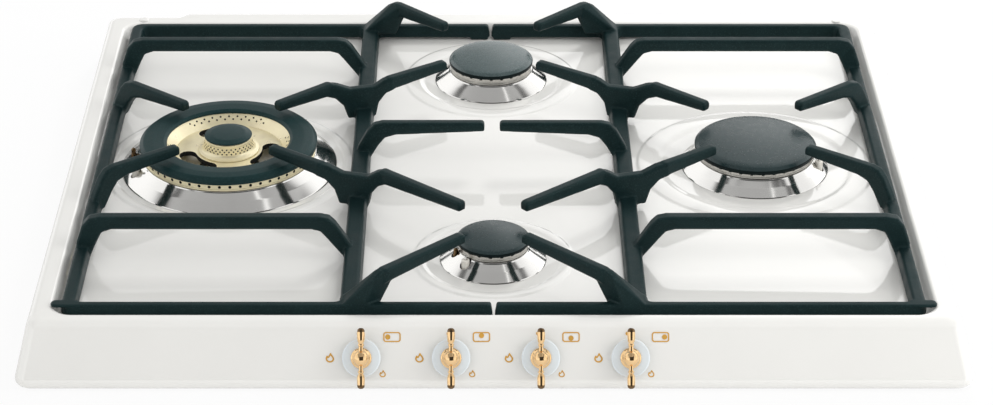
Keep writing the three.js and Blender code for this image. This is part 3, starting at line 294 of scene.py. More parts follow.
BRASS = finish("brass", linear(196, 164, 98), 0.3, 1.0, (0.08, 6, 0.08), (0.3, 0.8, 0.04))
BRONZE = finish("bronze", linear(122, 98, 70), 0.3, 1.0, (0.14, 3, 0.08), (0.3, 0.6, 0.04))
SEAL_FOAM = finish("seal", linear(42, 44, 46), 0.85, 0, (0.15, 3, 0.05), (0.6, 0.7, 0.2))
PLASTIC = finish("plastic", linear(50, 53, 56), 0.5, 0, (0.06, 12, 0.06), (0.35, 0.6, 0.05))
CUP_ALU = finish(
    "shaded_aluminium", linear(58, 66, 66), 0.55, 0.2, (0.15, 8, 0.08), (0.3, 0.8, 0.05), specular=0.3,
)
# Near-black painted shade for the walls and ends of ports and openings, standing in for the dark inside of a
# hole.
HOLE_SHADE = finish("hole_painted_shade", linear(18, 19, 19), 0.7, 0, (0.2, 2, 0.05), (0.3, 0.5, 0.05))

# ------------------------------------------------------------
# Light
# ------------------------------------------------------------

LAMPS = (  # name, place and size in metres, watts
    ("key", (0.35, 1.0, 0.95), 0.35, 6.0),
    ("side", (1.2, -0.5, 0.9), 0.8, 6.0),
)
LAMP_AIM = (0, 0, 0.08)


def stage_light():
    """Soft white light all round. Shiny surfaces see a white room instead, with a grey panel on its ceiling
    between two dark gaps, a bright window at the right of its rear wall and a dark camera stand. x, y and z
    are the direction to each place, as a vector one long."""
    world = bpy.data.worlds.new("studio")
    scene.world = world
    t = Nodes(world)
    x, y, z = t.add("SeparateXYZ", i0=t.add("TexCoord").outputs["Generated"]).outputs

    def step(value, low, high, start=0.0, end=1.0):
        """From start to end while the value goes from low to high."""
        smooth = {"interpolation_type": "SMOOTHSTEP"}
        return t.add("MapRange", smooth, i0=value, i1=low, i2=high, i3=start, i4=end).outputs[0]

    def blend(share, a, b):
        return t.add("Mix", {"data_type": "FLOAT"}, i0=share, i2=a, i3=b).outputs[0]

    def product(*values):
        out = values[0]
        for value in values[1:]:
            out = t.math("MULTIPLY", out, value)
        return out

    soft = t.math("ADD", step(z, 0.0, 0.8, 0.7, 0.75), step(y, -0.2, -0.9, 0.0, 0.3))
    walls = step(z, 0.1, 0.35, 1.3, 1.05)
    aside = t.math("ABSOLUTE", x)
    grey, gap, beyond = step(z, 0.7, 1.0, 0.56, 0.4), 0.12, 0.95
    panel = blend(step(aside, 0.6, 0.64), blend(step(aside, 0.53, 0.56), grey, gap), beyond)
    seam = product(step(x, 0.29, 0.31), step(x, 0.33, 0.35, 1.0, 0.0))
    panel = blend(seam, panel, 1.1)
    room = blend(step(z, 0.45, 0.6), walls, panel)
    rear = product(step(y, 0.1, 0.5), step(z, 0.1, 0.3), step(z, 0.62, 0.85, 1.0, 0.0))
    shine = product(step(x, -0.06, 0.12, 0.0, 1.0), step(z, 0.45, 0.52, 1.0, 0.6))
    window = t.math("ADD", step(x, -0.5, -0.32, 1.1, 0.55), shine)
    room = blend(rear, room, window)
    beside = t.math("ABSOLUTE", t.math("ADD", x, -0.1))
    stand = product(step(y, -0.28, -0.42), step(z, 0.78, 0.86, 1.0, 0.0), step(beside, 0.46, 0.56, 1.0, 0.0))
    room = blend(stand, room, 0.05)
    path = t.add("LightPath")
    level = blend(path.outputs["Is Glossy Ray"], soft, room)
    level = blend(path.outputs["Is Camera Ray"], level, 1.0)
    light = t.add("Background", Color=(1, 1, 1, 1), Strength=level)
    t.add("OutputWorld", Surface=light.outputs[0])
    for name, place, size, power in LAMPS:
        lamp = bpy.data.lights.new(name, "AREA")
        lamp.shape = "SQUARE"
        lamp.size = size
        lamp.energy = power
        obj = bpy.data.objects.new(name, lamp)
        obj.location = place
        obj.rotation_euler = (Vector(LAMP_AIM) - Vector(place)).to_track_quat("-Z", "Y").to_euler()
        obj.visible_glossy = False
        scene.collection.objects.link(obj)


stage_light()

# ------------------------------------------------------------
# Mesh helpers. A shape is (verts, faces).
# ------------------------------------------------------------

WELD = 0.004  # points closer than this become one
STRAIGHT = 1.55  # a corner is left as it is when half its angle, in radians, is more than this


def shaded(mesh, sharp):
    """Smooth, but for the edges where faces meet at more than so many degrees."""
    mesh.shade_smooth()
    mesh.set_sharp_from_angle(angle=math.radians(sharp))


def make(name, verts, faces, materials, sharp=35.0, origin=(0, 0, 0), turn=None, weld=True, slots=None):
    """A mesh object from points in millimetres. slots gives a material number for each face."""
    mesh = bpy.data.meshes.new(name)
    if turn:
        verts = [tuple(turn @ Vector(v)) for v in verts]
    mesh.from_pydata([(x * MM, y * MM, z * MM) for x, y, z in verts], [], faces)
    for material in materials if isinstance(materials, (list, tuple)) else [materials]:
        mesh.materials.append(material)
    if slots:
        for polygon, number in zip(mesh.polygons, slots):
            polygon.material_index = number
    work = bmesh.new()
    work.from_mesh(mesh)
    if weld:
        bmesh.ops.remove_doubles(work, verts=work.verts, dist=WELD * MM)
    bmesh.ops.recalc_face_normals(work, faces=work.faces)
    work.to_mesh(mesh)
    work.free()
    shaded(mesh, sharp)
    obj = bpy.data.objects.new(name, mesh)
    obj.location = [c * MM for c in origin]
    scene.collection.objects.link(obj)
    return obj


def piece(obj, body, slot, *nodes):
    """The object rides on a body and stands for these CAD nodes, which it hides. The slot is not used."""
    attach(obj, body)
    if nodes:
        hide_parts(*nodes)
    return obj


def arc(start, end, steps):
    return [start + (end - start) * i / steps for i in range(steps + 1)]


def polar(radius, degrees):
    return radius * math.cos(math.radians(degrees)), radius * math.sin(math.radians(degrees))


def circle(x, y, radius, sides):
    return [
        (x + radius * math.cos(2 * math.pi * i / sides), y + radius * math.sin(2 * math.pi * i / sides))
        for i in range(sides)
    ]


def rounded(points, steps=4, loop=False):
    """A polyline of (x, y, radius), with an arc of that radius at each corner."""
    out = []
    for i, (x, y, radius) in enumerate(points):
        if radius <= 0 or (not loop and i in (0, len(points) - 1)):
            out.append((x, y))
            continue
        corner = Vector((x, y))
        back = Vector(points[i - 1][:2]) - corner
        on = Vector(points[(i + 1) % len(points)][:2]) - corner
        half = back.angle(on) / 2
        if half > STRAIGHT:
            out.append((x, y))
            continue
        cut = min(radius / math.tan(half), 0.49 * min(back.length, on.length))
        centre = corner + (back.normalized() + on.normalized()).normalized() * (cut / math.cos(half))
        start = corner + back.normalized() * cut - centre
        sweep = math.pi - 2 * half
        side = 1 if back.x * on.y - back.y * on.x < 0 else -1
        for k in range(steps + 1):
            angle = side * sweep * k / steps
            c, s = math.cos(angle), math.sin(angle)
            out.append((centre.x + start.x * c - start.y * s, centre.y + start.x * s + start.y * c))
    return out


def rounded_box(x, y, half_width, half_height, radius):
    """A rectangle round (x, y), with rounded corners."""
    corners = ((1, 1), (-1, 1), (-1, -1), (1, -1))
    return rounded([(x + sx * half_width, y + sy * half_height, radius) for sx, sy in corners], 6, loop=True)


def lathe(profile, sides, closed=False):
    """A profile of (radius, height) turned about Z. A closed one joins its last point to its first."""
    verts, faces, rings = [], [], []
    for radius, height in profile:
        if radius < 1e-6:
            rings.append([len(verts)])
            verts.append((0, 0, height))
            continue
        rings.append(list(range(len(verts), len(verts) + sides)))
        verts += [(x, y, height) for x, y in circle(0, 0, radius, sides)]
    pairs = list(zip(rings, rings[1:])) + ([(rings[-1], rings[0])] if closed else [])
    for a, b in pairs:
        for i in range(sides):
            j = (i + 1) % sides
            corners = dict.fromkeys((a[i % len(a)], a[j % len(a)], b[j % len(b)], b[i % len(b)]))
            if len(corners) > 2:
                faces.append(list(corners))
    return verts, faces


def rod(x, y, radius, low, high, sides=24):
    verts, faces = lathe([(0, low), (radius, low), (radius, high), (0, high)], sides)
    return [(vx + x, vy + y, vz) for vx, vy, vz in verts], faces


def joined(*shapes):
    """Several shapes as one."""
    verts, faces = [], []
    for more_verts, more_faces in shapes:
        start = len(verts)
        verts += more_verts
        faces += [[start + i for i in face] for face in more_faces]
    return verts, faces


def assembled(parts, plain):
    """Parts of (verts, faces, slots), then plain shapes in material 0, as one (verts, faces, slots)."""
    verts, faces = joined(*(part[:2] for part in parts), *plain)
    slots = [slot for part in parts for slot in part[2]]
    return verts, faces, slots + [0] * (len(faces) - len(slots))


def filled(loops, height=0.0):
    """The area inside the first loop and outside the others, as flat triangles."""
    points, edges = [], []
    for loop in loops:
        start = len(points)
        points += [Vector(point) for point in loop]
        edges += [(start + i, start + (i + 1) % len(loop)) for i in range(len(loop))]
    verts, _, faces, _, _, _ = delaunay_2d_cdt(points, edges, [], 0, 1e-6)
    spans = [(*points[a], *points[b]) for a, b in edges]

    def inside(face):
        x, y = sum((verts[i] for i in face), Vector((0, 0))) / len(face)
        hits = 0
        for ax, ay, bx, by in spans:
            hits += (ay > y) != (by > y) and x < ax + (bx - ax) * (y - ay) / (by - ay)
        return hits % 2 == 1

    return [(v.x, v.y, height) for v in verts], [list(face) for face in faces if inside(face)]


def wall(loop, low, high):
    """A wall along a loop, between two heights."""
    n = len(loop)
    verts = [(x, y, low) for x, y in loop] + [(x, y, high) for x, y in loop]
    return verts, [[i, (i + 1) % n, n + (i + 1) % n, n + i] for i in range(n)]


def plate(loops, low, high):
    """A flat plate with holes, between two heights."""
    return joined(filled(loops, low), filled(loops, high), *(wall(loop, low, high) for loop in loops))


def settle(obj):
    """Replaces an object's mesh with what its modifiers make of it."""
    evaluated = obj.evaluated_get(bpy.context.evaluated_depsgraph_get())
    mesh = bpy.data.meshes.new_from_object(evaluated)
    obj.modifiers.clear()
    old = obj.data
    obj.data = mesh
    bpy.data.meshes.remove(old)
    return obj


def bored(obj, tools, sharp=35.0):
    """Cuts closed tool shapes, in the object's own millimetres, out of the object."""
    cutters = []
    origin = [c / MM for c in obj.location]
    for i, (verts, faces) in enumerate(tools):
        cutters.append(make(f"{obj.name}_cutter{i}", verts, faces, HOLE_SHADE, origin=origin))
        cut = obj.modifiers.new("hole", "BOOLEAN")
        cut.operation = "DIFFERENCE"
        cut.solver = "EXACT"
        cut.object = cutters[-1]
    bpy.context.view_layer.update()
    settle(obj)
    for cutter in cutters:
        bpy.data.objects.remove(cutter)
    shaded(obj.data, sharp)
    return obj


def ported_band(lower, upper, count, port, depth, offset=0.0, sides=10, groups=None):
    """A band between two circles (radius, height) with a round port in each of its cells, or only in three
    groups of them: within groups[1] degrees of groups[0] and of each third of a turn from it. A port's wall
    and end take material 1, the dark painted shade of a hole. The result is (verts, faces, slots)."""
    verts, faces, slots = [], [], []
    run = math.hypot(upper[0] - lower[0], upper[1] - lower[1])
    normal = ((upper[1] - lower[1]) / run, -(upper[0] - lower[0]) / run)
    middle = (lower[0] + upper[0]) / 2
    half_u = math.pi * middle / count
    half_v = run / 2

    def at(cell, u, v, sink=0.0):
        share = 0.5 + v / run
        radius = lower[0] + (upper[0] - lower[0]) * share - normal[0] * sink
        height = lower[1] + (upper[1] - lower[1]) * share - normal[1] * sink
        angle = 2 * math.pi * (cell + 0.5 + offset) / count + u / middle
        return radius * math.cos(angle), radius * math.sin(angle), height

    for cell in range(count):
        start = len(verts)
        turn = 360 * (cell + 0.5 + offset) / count
        ported = not groups or abs((turn - groups[0] + 60) % 120 - 60) < groups[1]
        for i in range(sides):
            angle = 2 * math.pi * (i + 0.5) / sides
            c, s = math.cos(angle), math.sin(angle)
            reach = min(half_u / max(abs(c), 1e-9), half_v / max(abs(s), 1e-9))
            verts.append(at(cell, reach * c, reach * s))
            if ported:
                verts.append(at(cell, port * c, port * s))
                verts.append(at(cell, port * c, port * s, depth))
        corners = []
        for cu, cv in ((1, 1), (-1, 1), (-1, -1), (1, -1)):
            corners.append((math.atan2(cv * half_v, cu * half_u) % (2 * math.pi), len(verts)))
            verts.append(at(cell, cu * half_u, cv * half_v))
        stride = 3 if ported else 1
        border = []
        for i in range(sides):
            a, b = start + stride * i, start + stride * ((i + 1) % sides)
            low = 2 * math.pi * (i + 0.5) / sides
            high = low + 2 * math.pi / sides
            between = [v for angle, v in corners if low < angle < high or low < angle + 2 * math.pi < high]
            border += [a, *between]
            if ported:
                faces += [[a, *between, b, b + 1, a + 1], [a + 1, b + 1, b + 2, a + 2]]
                slots += [0, 1]
        faces.append([start + 3 * i + 2 for i in range(sides)] if ported else border)
        slots.append(1 if ported else 0)
    return verts, faces, slots


# ------------------------------------------------------------
# Hob top: one enamelled pressing, with embossed rings round the burners
# ------------------------------------------------------------

CURVE_STEPS = 9  # of the lip and of the rim's edge
WALL_STEPS = (5, 6)  # of the pan's upper edge and of its fillet
CORNER_STEPS = 10
STEP_STEPS = 8  # of each end of the rear step


def middle_of(burner):
    return burner["x"], burner["y"], 0


def probe_holes(burner):
    """(x, y, radius) of the holes for the electrode and the thermocouple, from the burner's middle."""
    return [
        (*polar(*burner["electrode"]), CERAMIC_RADIUS + PROBE_CLEARANCE),
        (*polar(*burner["thermocouple"]), PROBE_RADIUS + PROBE_CLEARANCE),
    ]


def top_section(edge, flare, rounding, pan_edge):
    """One side's section from the return flange over the rim to the pan: u outward, z, the corners' radius,
    and whether the rear step reaches it."""
    lean = math.atan2(flare, RIM_HEIGHT)
    lip_u = edge + flare * (1 - LIP_RADIUS / RIM_HEIGHT) - LIP_RADIUS / math.cos(lean)
    lip_z = WORKTOP + GAP + LIP_RADIUS
    edge_u = edge - rounding * (1 - math.sin(lean)) / math.cos(lean)
    edge_z = RIM - rounding
    fold = lip_u - LIP_RADIUS / 2
    points = [(u, WORKTOP + FLANGE_RISE, PAN_FILLET, False) for u in (fold - FLANGE_WIDTH, fold)]
    for a in arc(-math.pi / 2, lean, CURVE_STEPS):
        points.append((lip_u + LIP_RADIUS * math.cos(a), lip_z + LIP_RADIUS * math.sin(a), TOP_CORNER, True))
    for a in arc(lean, math.pi / 2, CURVE_STEPS):
        points.append((edge_u + rounding * math.cos(a), edge_z + rounding * math.sin(a), TOP_CORNER, True))
    slant = math.atan2(PAN_DEPTH, PAN_WALL_RUN)
    tangent = math.tan(slant / 2)
    for a in arc(0, slant, WALL_STEPS[0]):
        u = pan_edge + PAN_EDGE_RADIUS * (tangent - math.sin(a))
        points.append((u, RIM + PAN_EDGE_RADIUS * (math.cos(a) - 1), PAN_CORNER, False))
    for a in arc(slant, 0, WALL_STEPS[1]):
        u = pan_edge - PAN_WALL_RUN - PAN_FILLET * (tangent - math.sin(a))
        points.append((u, PAN + PAN_FILLET * (1 - math.cos(a)), PAN_CORNER - PAN_WALL_RUN, False))
    return points


def top_loop(side, front, rear):
    """The whole loop at one point of the three sections."""
    (su, sz, radius, stepped), (fu, fz, _, _), (ru, rz, _, _) = side, front, rear
    step = REAR_STEP * (rz - WORKTOP) / RIM_HEIGHT if stepped else 0
    points = []

    def corner(x, y, start, low, high):
        for k in range(CORNER_STEPS + 1):
            t = k / CORNER_STEPS
            a = start + t * math.pi / 2
            points.append((x + radius * math.cos(a), y + radius * math.sin(a), low + (high - low) * t))

    corner_x = su - radius
    corner(corner_x, ru - radius, 0, sz, rz)
    for side_of in (1, -1):
        for k in range(STEP_STEPS + 1):
            t = k / STEP_STEPS if side_of > 0 else 1 - k / STEP_STEPS
            x = side_of * (REAR_STEP_HALF + REAR_STEP_RUN * (1 - t))
            points.append((x, ru + step * (1 - math.cos(math.pi * t)) / 2, rz))
    corner(-corner_x, ru - radius, math.pi / 2, rz, sz)
    corner(-corner_x, -(fu - radius), math.pi, sz, fz)
    corner(corner_x, -(fu - radius), 1.5 * math.pi, fz, sz)
    return points


def ring_heights(burner):
    """(radius, height) from the embossed ring's outside to the flat round the burner."""
    (a, b), (c, d) = burner["rings"]
    up = [(a + (b - a) * t, RING_RISE * (1 - math.cos(math.pi * t)) / 2) for t in (k / 6 for k in range(7))]
    down = [(c + (d - c) * t, RING_RISE * (1 + math.cos(math.pi * t)) / 2) for t in (k / 8 for k in range(9))]
    return [(a + 0.9, 0.0), (a + 0.45, 0.0), *up, *down, (d - 0.6, 0.0)]


def hob_top():
    side = top_section(**TOP_SIDE, pan_edge=PAN_SIDE)
    front = top_section(**TOP_FRONT, pan_edge=PAN_FRONT)
    rear = top_section(**TOP_REAR, pan_edge=PAN_REAR)
    loops = [top_loop(*points) for points in zip(side, front, rear)]
    count = len(loops[0])
    verts = [point for loop in loops for point in loop]
    faces = []
    for row in range(len(loops) - 1):
        here, there = row * count, (row + 1) * count
        for i in range(count):
            j = (i + 1) % count
            faces.append([here + i, here + j, there + j, there + i])
    holes = [circle(b["x"], b["y"], ring_heights(b)[0][0], RING_SIDES) for b in BURNERS.values()]
    shapes = [(verts, faces), filled([[(x, y) for x, y, _ in loops[-1]], *holes], PAN)]
    for b in BURNERS.values():
        ring_verts, ring_faces = lathe([(r, PAN + h) for r, h in ring_heights(b)], RING_SIDES)
        shapes.append(([(x + b["x"], y + b["y"], z) for x, y, z in ring_verts], ring_faces))
        disc = [circle(b["x"], b["y"], ring_heights(b)[-1][0], RING_SIDES)]
        disc.append(circle(b["x"], b["y"], b["neck"] + 2 * GAP, 64))
        disc += [circle(b["x"] + dx, b["y"] + dy, hole, 24) for dx, dy, hole in probe_holes(b)]
        shapes.append(filled(disc, PAN))
    top = make("top_pressing", *joined(*shapes), ENAMEL, sharp=50)
    # The sheet gets its thickness downward, so the faces must look up.
    if max(top.data.polygons, key=lambda p: p.center.z * 1000 + p.area).normal.z < 0:
        top.data.flip_normals()
    thick = top.modifiers.new("sheet", "SOLIDIFY")
    thick.thickness = SHEET * MM
    thick.offset = -1.0
    tools = []
    for x in CONTROLS.values():
        hole_verts, hole_faces = rod(0, 0, SPINDLE_RADIUS + 1, -6, 6, 32)
        place = Vector((x, CONTROL_Y, CONTROL_Z))
        tools.append(([tuple(TILT @ Vector(v) + place) for v in hole_verts], hole_faces))
    bored(top, tools, sharp=50)
    piece(top, "hob", "enamel", "hob_top")


hob_top()


def hinge_plug(name, x, y):
    """A small domed plug in the lid hinge's place on the rear rim."""
    profile = rounded([
        (0, RIM + 0.05, 0), (3.6, RIM + 0.05, 0), (3.6, RIM + 0.5, 0.3), (2.8, RIM + 1.1, 0.8),
        (0, RIM + 1.3, 0),
    ])
    plug = make(f"hinge_plug_{name}", *lathe(profile, PLUG_SIDES), ENAMEL, origin=(x, y, 0))
    piece(plug, "hob", "enamel")


for plug_name, plug_place in HINGE_PLUGS.items():
    hinge_plug(plug_name, *plug_place)

# ------------------------------------------------------------
# Burners
# ------------------------------------------------------------


def skirt(name, b):
    """Polished skirt: a rolled foot, a straight flank, and a shoulder that the crown stands on."""
    top, foot = RIM + b["base"] - GAP, PAN + 0.05
    shoulder = b["crown"] + 0.4
    land = b["crown"] - CROWN_WALL + 2 * GAP if name == "left" else b["neck"] + 1
    bend = (b["cone"] - (b["cone"] - shoulder) * 0.55, foot + (top - foot) * 0.42)
    profile = rounded([
        (b["cone"] - 0.6, foot, 0), (b["cone"], foot + 0.2, 0.1), (b["cone"] - 0.5, foot + 0.8, 0.4),
        (bend[0], bend[1] + 1.2, 12), (shoulder + 1.1, top - 0.8, 0.7), (shoulder + 0.5, top, 0.6),
        (land, top, 0), (land, top - 1, 0), (shoulder - 0.6, top - 1.1, 0.5), (bend[0] - 1.2, bend[1], 8),
        (b["cone"] - 3, foot, 0),
    ], 5)
    obj = make(f"skirt_{name}", *lathe(profile, RING_SIDES, closed=True), POLISHED, origin=middle_of(b))
    bored(obj, [rod(x, y, hole, foot - 5, top + 8) for x, y, hole in probe_holes(b)])
    piece(obj, "hob", "polished_steel", f"burner_skirt_{name}")


def neck_radii(b):
    """Outside and inside of the crown's neck, which stands in the cup."""
    neck = b["neck"] - CUP_WALL - 1
    return neck, neck - CROWN_NECK


def notched_crown(name, b):
    """Cast crown whose flame notches open under the cap."""
    base, top = RIM + b["base"], RIM + b["edge"] - GAP
    neck, bore = neck_radii(b)
    count, half, lip = b["notches"], NOTCH["half"] / b["crown"], NOTCH["lip"] / b["crown"]
    angles = []  # with whether each is in a notch
    for i in range(count):
        middle = 2 * math.pi * i / count
        pitch = 2 * math.pi / count
        angles += [
            (middle - half - lip, False), (middle - half, True), (middle, True), (middle + half, True),
            (middle + half + lip, False), (middle + pitch / 2, False),
        ]
    outer, inner, floor = b["crown"] - 0.1, b["crown"] - CROWN_WALL, base + CROWN_FLOOR
    profile = [  # with whether the notches cut each point
        (b["crown"] + 0.1, base, False), (b["crown"] + 0.1, base + 0.6, False), (outer, base + 1.1, False),
        (outer, top - NOTCH["depth"], False), (outer, top, True), (inner, top, True), (inner, floor, False),
        (bore, floor, False), (bore, NECK_END, False), (neck, NECK_END, False), (neck, base, False),
    ]
    verts, faces = [], []
    rows, n = len(profile), len(angles)
    for radius, height, cut in profile:
        for angle, notch in angles:
            z = height - (NOTCH["depth"] - 0.05 if cut and notch else 0)
            verts.append((radius * math.cos(angle), radius * math.sin(angle), z))
    for row in range(rows):
        for i in range(n):
            j, below = (i + 1) % n, (row + 1) % rows
            faces.append([row * n + i, row * n + j, below * n + j, below * n + i])
    obj = make(f"crown_{name}", verts, faces, CAST_ALU, origin=middle_of(b), weld=False)
    piece(obj, f"crown_{name}", "cast_aluminium", f"burner_crown_{name}")


def domed_cap(name, b):
    """Enamelled cap: a low dome, a bevel round it, a rounded edge with a lip, painted dark as painted shade,
    and the locating ring.
    """
    low = RIM + b["edge"]
    high = low + b["side"]
    ring = b["crown"] - CROWN_WALL - GAP
    r = b["cap"]
    dome = r - 3.1
    profile = rounded([
        (0, low, 0), (ring - 1.2, low, 0), (ring - 1.2, low - 1.2, 0), (ring, low - 1.2, 0), (ring, low, 0),
        (b["crown"] + 0.3, low, 0), (b["crown"] + 0.3, low - 0.5, 0), (r - 0.3, low - 0.5, 0.3),
        (r, low + b["side"] * 0.52, 0.9), (r - 2.4, high + 0.15, 1.6), (r * 0.8, high + b["dome"] * 0.42, 0),
    ], 5)[:-1]
    for k in range(9):
        t = k / 8
        radius = dome * (1 - t)
        profile.append((radius, high + 0.35 + (b["dome"] - 0.35) * (1 - (radius / dome) ** 2)))
    verts, faces = lathe(profile, CROWN_SIDES)

    # The faces of the edge below the top, which take the dark painted shade.
    def on_edge(face):
        beyond_crown = min(math.hypot(*verts[i][:2]) for i in face) > b["crown"]
        return beyond_crown and max(verts[i][2] for i in face) < high - 0.1

    # The rear cap takes the lighter copy of the enamel, which is painted light.
    materials = [CAP_GLOSS_LIT if name == "rear" else CAP_ENAMEL, CAP_EDGE_SHADE]
    slots = [1 if on_edge(face) else 0 for face in faces]
    obj = make(f"cap_{name}", verts, faces, materials, origin=middle_of(b), slots=slots)
    piece(obj, f"cap_{name}", "cap_enamel", f"burner_cap_{name}")


def probes(name, b):
    """The ignition electrode, a glazed insulator with a steel pin, and the thermocouple."""
    dx, dy = polar(*b["electrode"])
    r = CERAMIC_RADIUS
    glaze = rounded([
        (0, PROBE_LOW, 0), (r, PROBE_LOW, 0.3), (r, CERAMIC_TOP - 0.2, 0.7), (1.5, CERAMIC_TOP + 0.4, 0.2),
        (1.2, CERAMIC_TOP + 0.1, 0),
    ], 4)
    pin = rounded([
        (1.2, CERAMIC_TOP + 0.1, 0), (0.95, CERAMIC_TOP + 0.2, 0), (0.95, CERAMIC_TOP + 2.9, 0.7),
        (0, CERAMIC_TOP + 3, 0),
    ], 4)
    verts, faces = lathe(glaze + pin[1:], PROBE_SIDES)
    glazed = (len(glaze) - 1) * PROBE_SIDES
    slots = [0 if i < glazed else 1 for i in range(len(faces))]
    obj = make(f"electrode_{name}_fine", verts, faces, [CERAMIC, POLISHED], slots=slots, weld=False,
               origin=(b["x"] + dx, b["y"] + dy, 0))
    piece(obj, "hob", "ceramic", f"electrode_{name}")
    dx, dy = polar(*b["thermocouple"])
    r, top = PROBE_RADIUS, PROBE_TOP
    shape = lathe(rounded([
        (0, PROBE_LOW, 0), (r, PROBE_LOW, 0.3), (r, top - 4.4, 0.2), (r - 0.35, top - 4.2, 0),
        (r - 0.35, top - 1.1, 0.9), (0.7, top, 0.5), (0, top, 0),
    ], 4), PROBE_SIDES)
    obj = make(f"thermocouple_{name}_fine", *shape, BRONZE, origin=(b["x"] + dx, b["y"] + dy, 0))
    piece(obj, "hob", "brass", f"thermocouple_{name}")


def deck_openings():
    """The deck's air openings: thick arcs with round ends."""
    inner, outer = DECK_OPENING["inner"], DECK_OPENING["outer"]
    middle, end = (outer + inner) / 2, (outer - inner) / 2
    half = DECK_OPENING["span"] / 2 - math.degrees(math.asin(end / middle))

    def round_end(angle, start, stop):
        x, y = polar(middle, angle)
        return [(x + dx, y + dy) for dx, dy in (polar(end, angle + a) for a in arc(start, stop, 10))]

    loops = []
    for i in range(DECK_OPENING["count"]):
        centre = DECK_OPENING["first"] + 360 / DECK_OPENING["count"] * i
        loops.append([
            *(polar(outer, centre + a) for a in arc(-half, half, 14)), *round_end(centre + half, 15, 165),
            *(polar(inner, centre + a) for a in arc(half, -half, 14)), *round_end(centre - half, 195, 345),
        ])
    return loops


def large_crown(b):
    """Crown of the large burner: ported outer wall, ported inner slope, deck with air openings, and neck."""
    base, top = RIM + b["base"], RIM + b["edge"] - GAP
    inner_top = RIM + b["edge"] + b["side"] - RING_CAP_STEP
    trough, floor = base - TROUGH_DEPTH, base - TROUGH_DEPTH + CROWN_FLOOR
    neck, bore = neck_radii(b)
    outer, foot, inside = b["crown"] - 0.1, b["crown"] + 0.4, b["crown"] - 5
    slope_top, slope_back = RING_HOLE + 0.6, RING_HOLE + 4.6
    deck_low, deck_edge = DECK_TOP - DECK_HEIGHT, DECK_OUTER - 1.4
    # The slope faces inward, so its bands run downward.
    slope = [
        (slope_top + (DECK_OUTER - RING_HOLE - 0.6) * t, inner_top + (DECK_TOP - 0.6 - inner_top) * t)
        for t in SLOPE_ROWS
    ]
    openings = deck_openings()
    parts = [
        ported_band((outer, base + 1.1), (outer, top), b["notches"], **SIDE_PORTS),
        ported_band(slope[1], slope[2], **SLOPE_PORTS),
        ported_band(slope[2], slope[3], **SLOPE_PORTS, offset=0.5),
        # The openings' walls take material 1, the dark painted shade.
        *((*wall(loop, DECK_TOP, deck_low), [1] * len(loop)) for loop in openings),
    ]
    profiles = [
        slope[:2],
        slope[3:],
        [
            (outer, base + 1.1), (foot, base + 0.8), (foot, base), (b["crown"] - CROWN_WALL, base),
            (b["crown"] - CROWN_WALL, trough), (DECK_OUTER + 4, trough), (DECK_OUTER + 2, deck_low),
        ],
        [
            (outer, top), (inside, top), (inside, floor), (slope_back, floor), (slope_back, inner_top),
            (slope_top, inner_top),
        ],
        [(DECK_OUTER, DECK_TOP - 0.6), (DECK_OUTER - 0.6, DECK_TOP - 0.1), (deck_edge, DECK_TOP)],
        [(bore, DECK_TOP), (bore, NECK_END), (neck, NECK_END), (neck, deck_low)],
    ]
    plain = [lathe(profile, CROWN_SIDES) for profile in profiles]
    for height, edge, hole in ((DECK_TOP, deck_edge, bore), (deck_low, DECK_OUTER + 2, neck)):
        loops = [circle(0, 0, edge, CROWN_SIDES), circle(0, 0, hole, CROWN_SIDES), *openings]
        plain.append(filled(loops, height))
    verts, faces, slots = assembled(parts, plain)
    obj = make("crown_left", verts, faces, [CHAMPAGNE, HOLE_SHADE], origin=middle_of(b), slots=slots)
    piece(obj, "hob", "champagne_alloy", "burner_crown_left")


def centre_crown(b):
    """Crown in the middle of the large burner, with a flared foot and three staggered rows of ports."""
    base, top = RIM + CENTRE["base"], RIM + CENTRE["edge"] - GAP
    r, foot = CENTRE["crown"], CENTRE["foot"]
    rows = [(r - 0.7 - 0.3 * i, base + 3.2 + 1.55 * i) for i in range(4)]
    bands = [
        ported_band(low, high, **CENTRE_PORTS, offset=0.5 * (i % 2))
        for i, (low, high) in enumerate(zip(rows, rows[1:]))
    ]
    below = rounded([
        (r - 4, base, 0), (foot, base, 0.2), (foot, base + 0.9, 0.4), (r + 0.4, base + 1.4, 1.8),
        (*rows[0], 0),
    ])
    above = rounded([(*rows[-1], 0), (r - 1.6, top, 0.3), (r - CENTRE["wall"], top, 0.3), (r - 4, base, 0)])
    verts, faces, slots = assembled(bands, [lathe(below, CENTRE_SIDES), lathe(above, CENTRE_SIDES)])
    obj = make("crown_centre", verts, faces, [CHAMPAGNE, HOLE_SHADE], origin=middle_of(b), slots=slots)
    piece(obj, "hob", "champagne_alloy", "burner_crown_centre")


def ring_cap(b):
    """The large burner's cap, with the hole that shows its deck."""
    low, r = RIM + b["edge"], b["cap"]
    high = low + b["side"]
    inner = high - RING_CAP_STEP + GAP
    profile = rounded([
        (r - 1.2, low, 0.3), (r - 0.1, low + 0.5, 0.5), (r, low + b["side"] * 0.6, 1.2), (r - 2.6, high, 2.2),
        (RING_HOLE + 10, high + b["dome"], 14), (RING_HOLE + 2, high + 0.3, 1.6),
        (RING_HOLE, high - 1.2, 0.6), (RING_HOLE, inner, 0.2), (RING_HOLE + 6, inner, 0.3),
        (RING_HOLE + 8, low, 0.3),
    ], 5, loop=True)
    obj = make("ring_cap_left", *lathe(profile, RING_SIDES, closed=True), CAP_DULL, origin=middle_of(b))
    piece(obj, "hob", "cap_enamel", "burner_ring_cap_left")


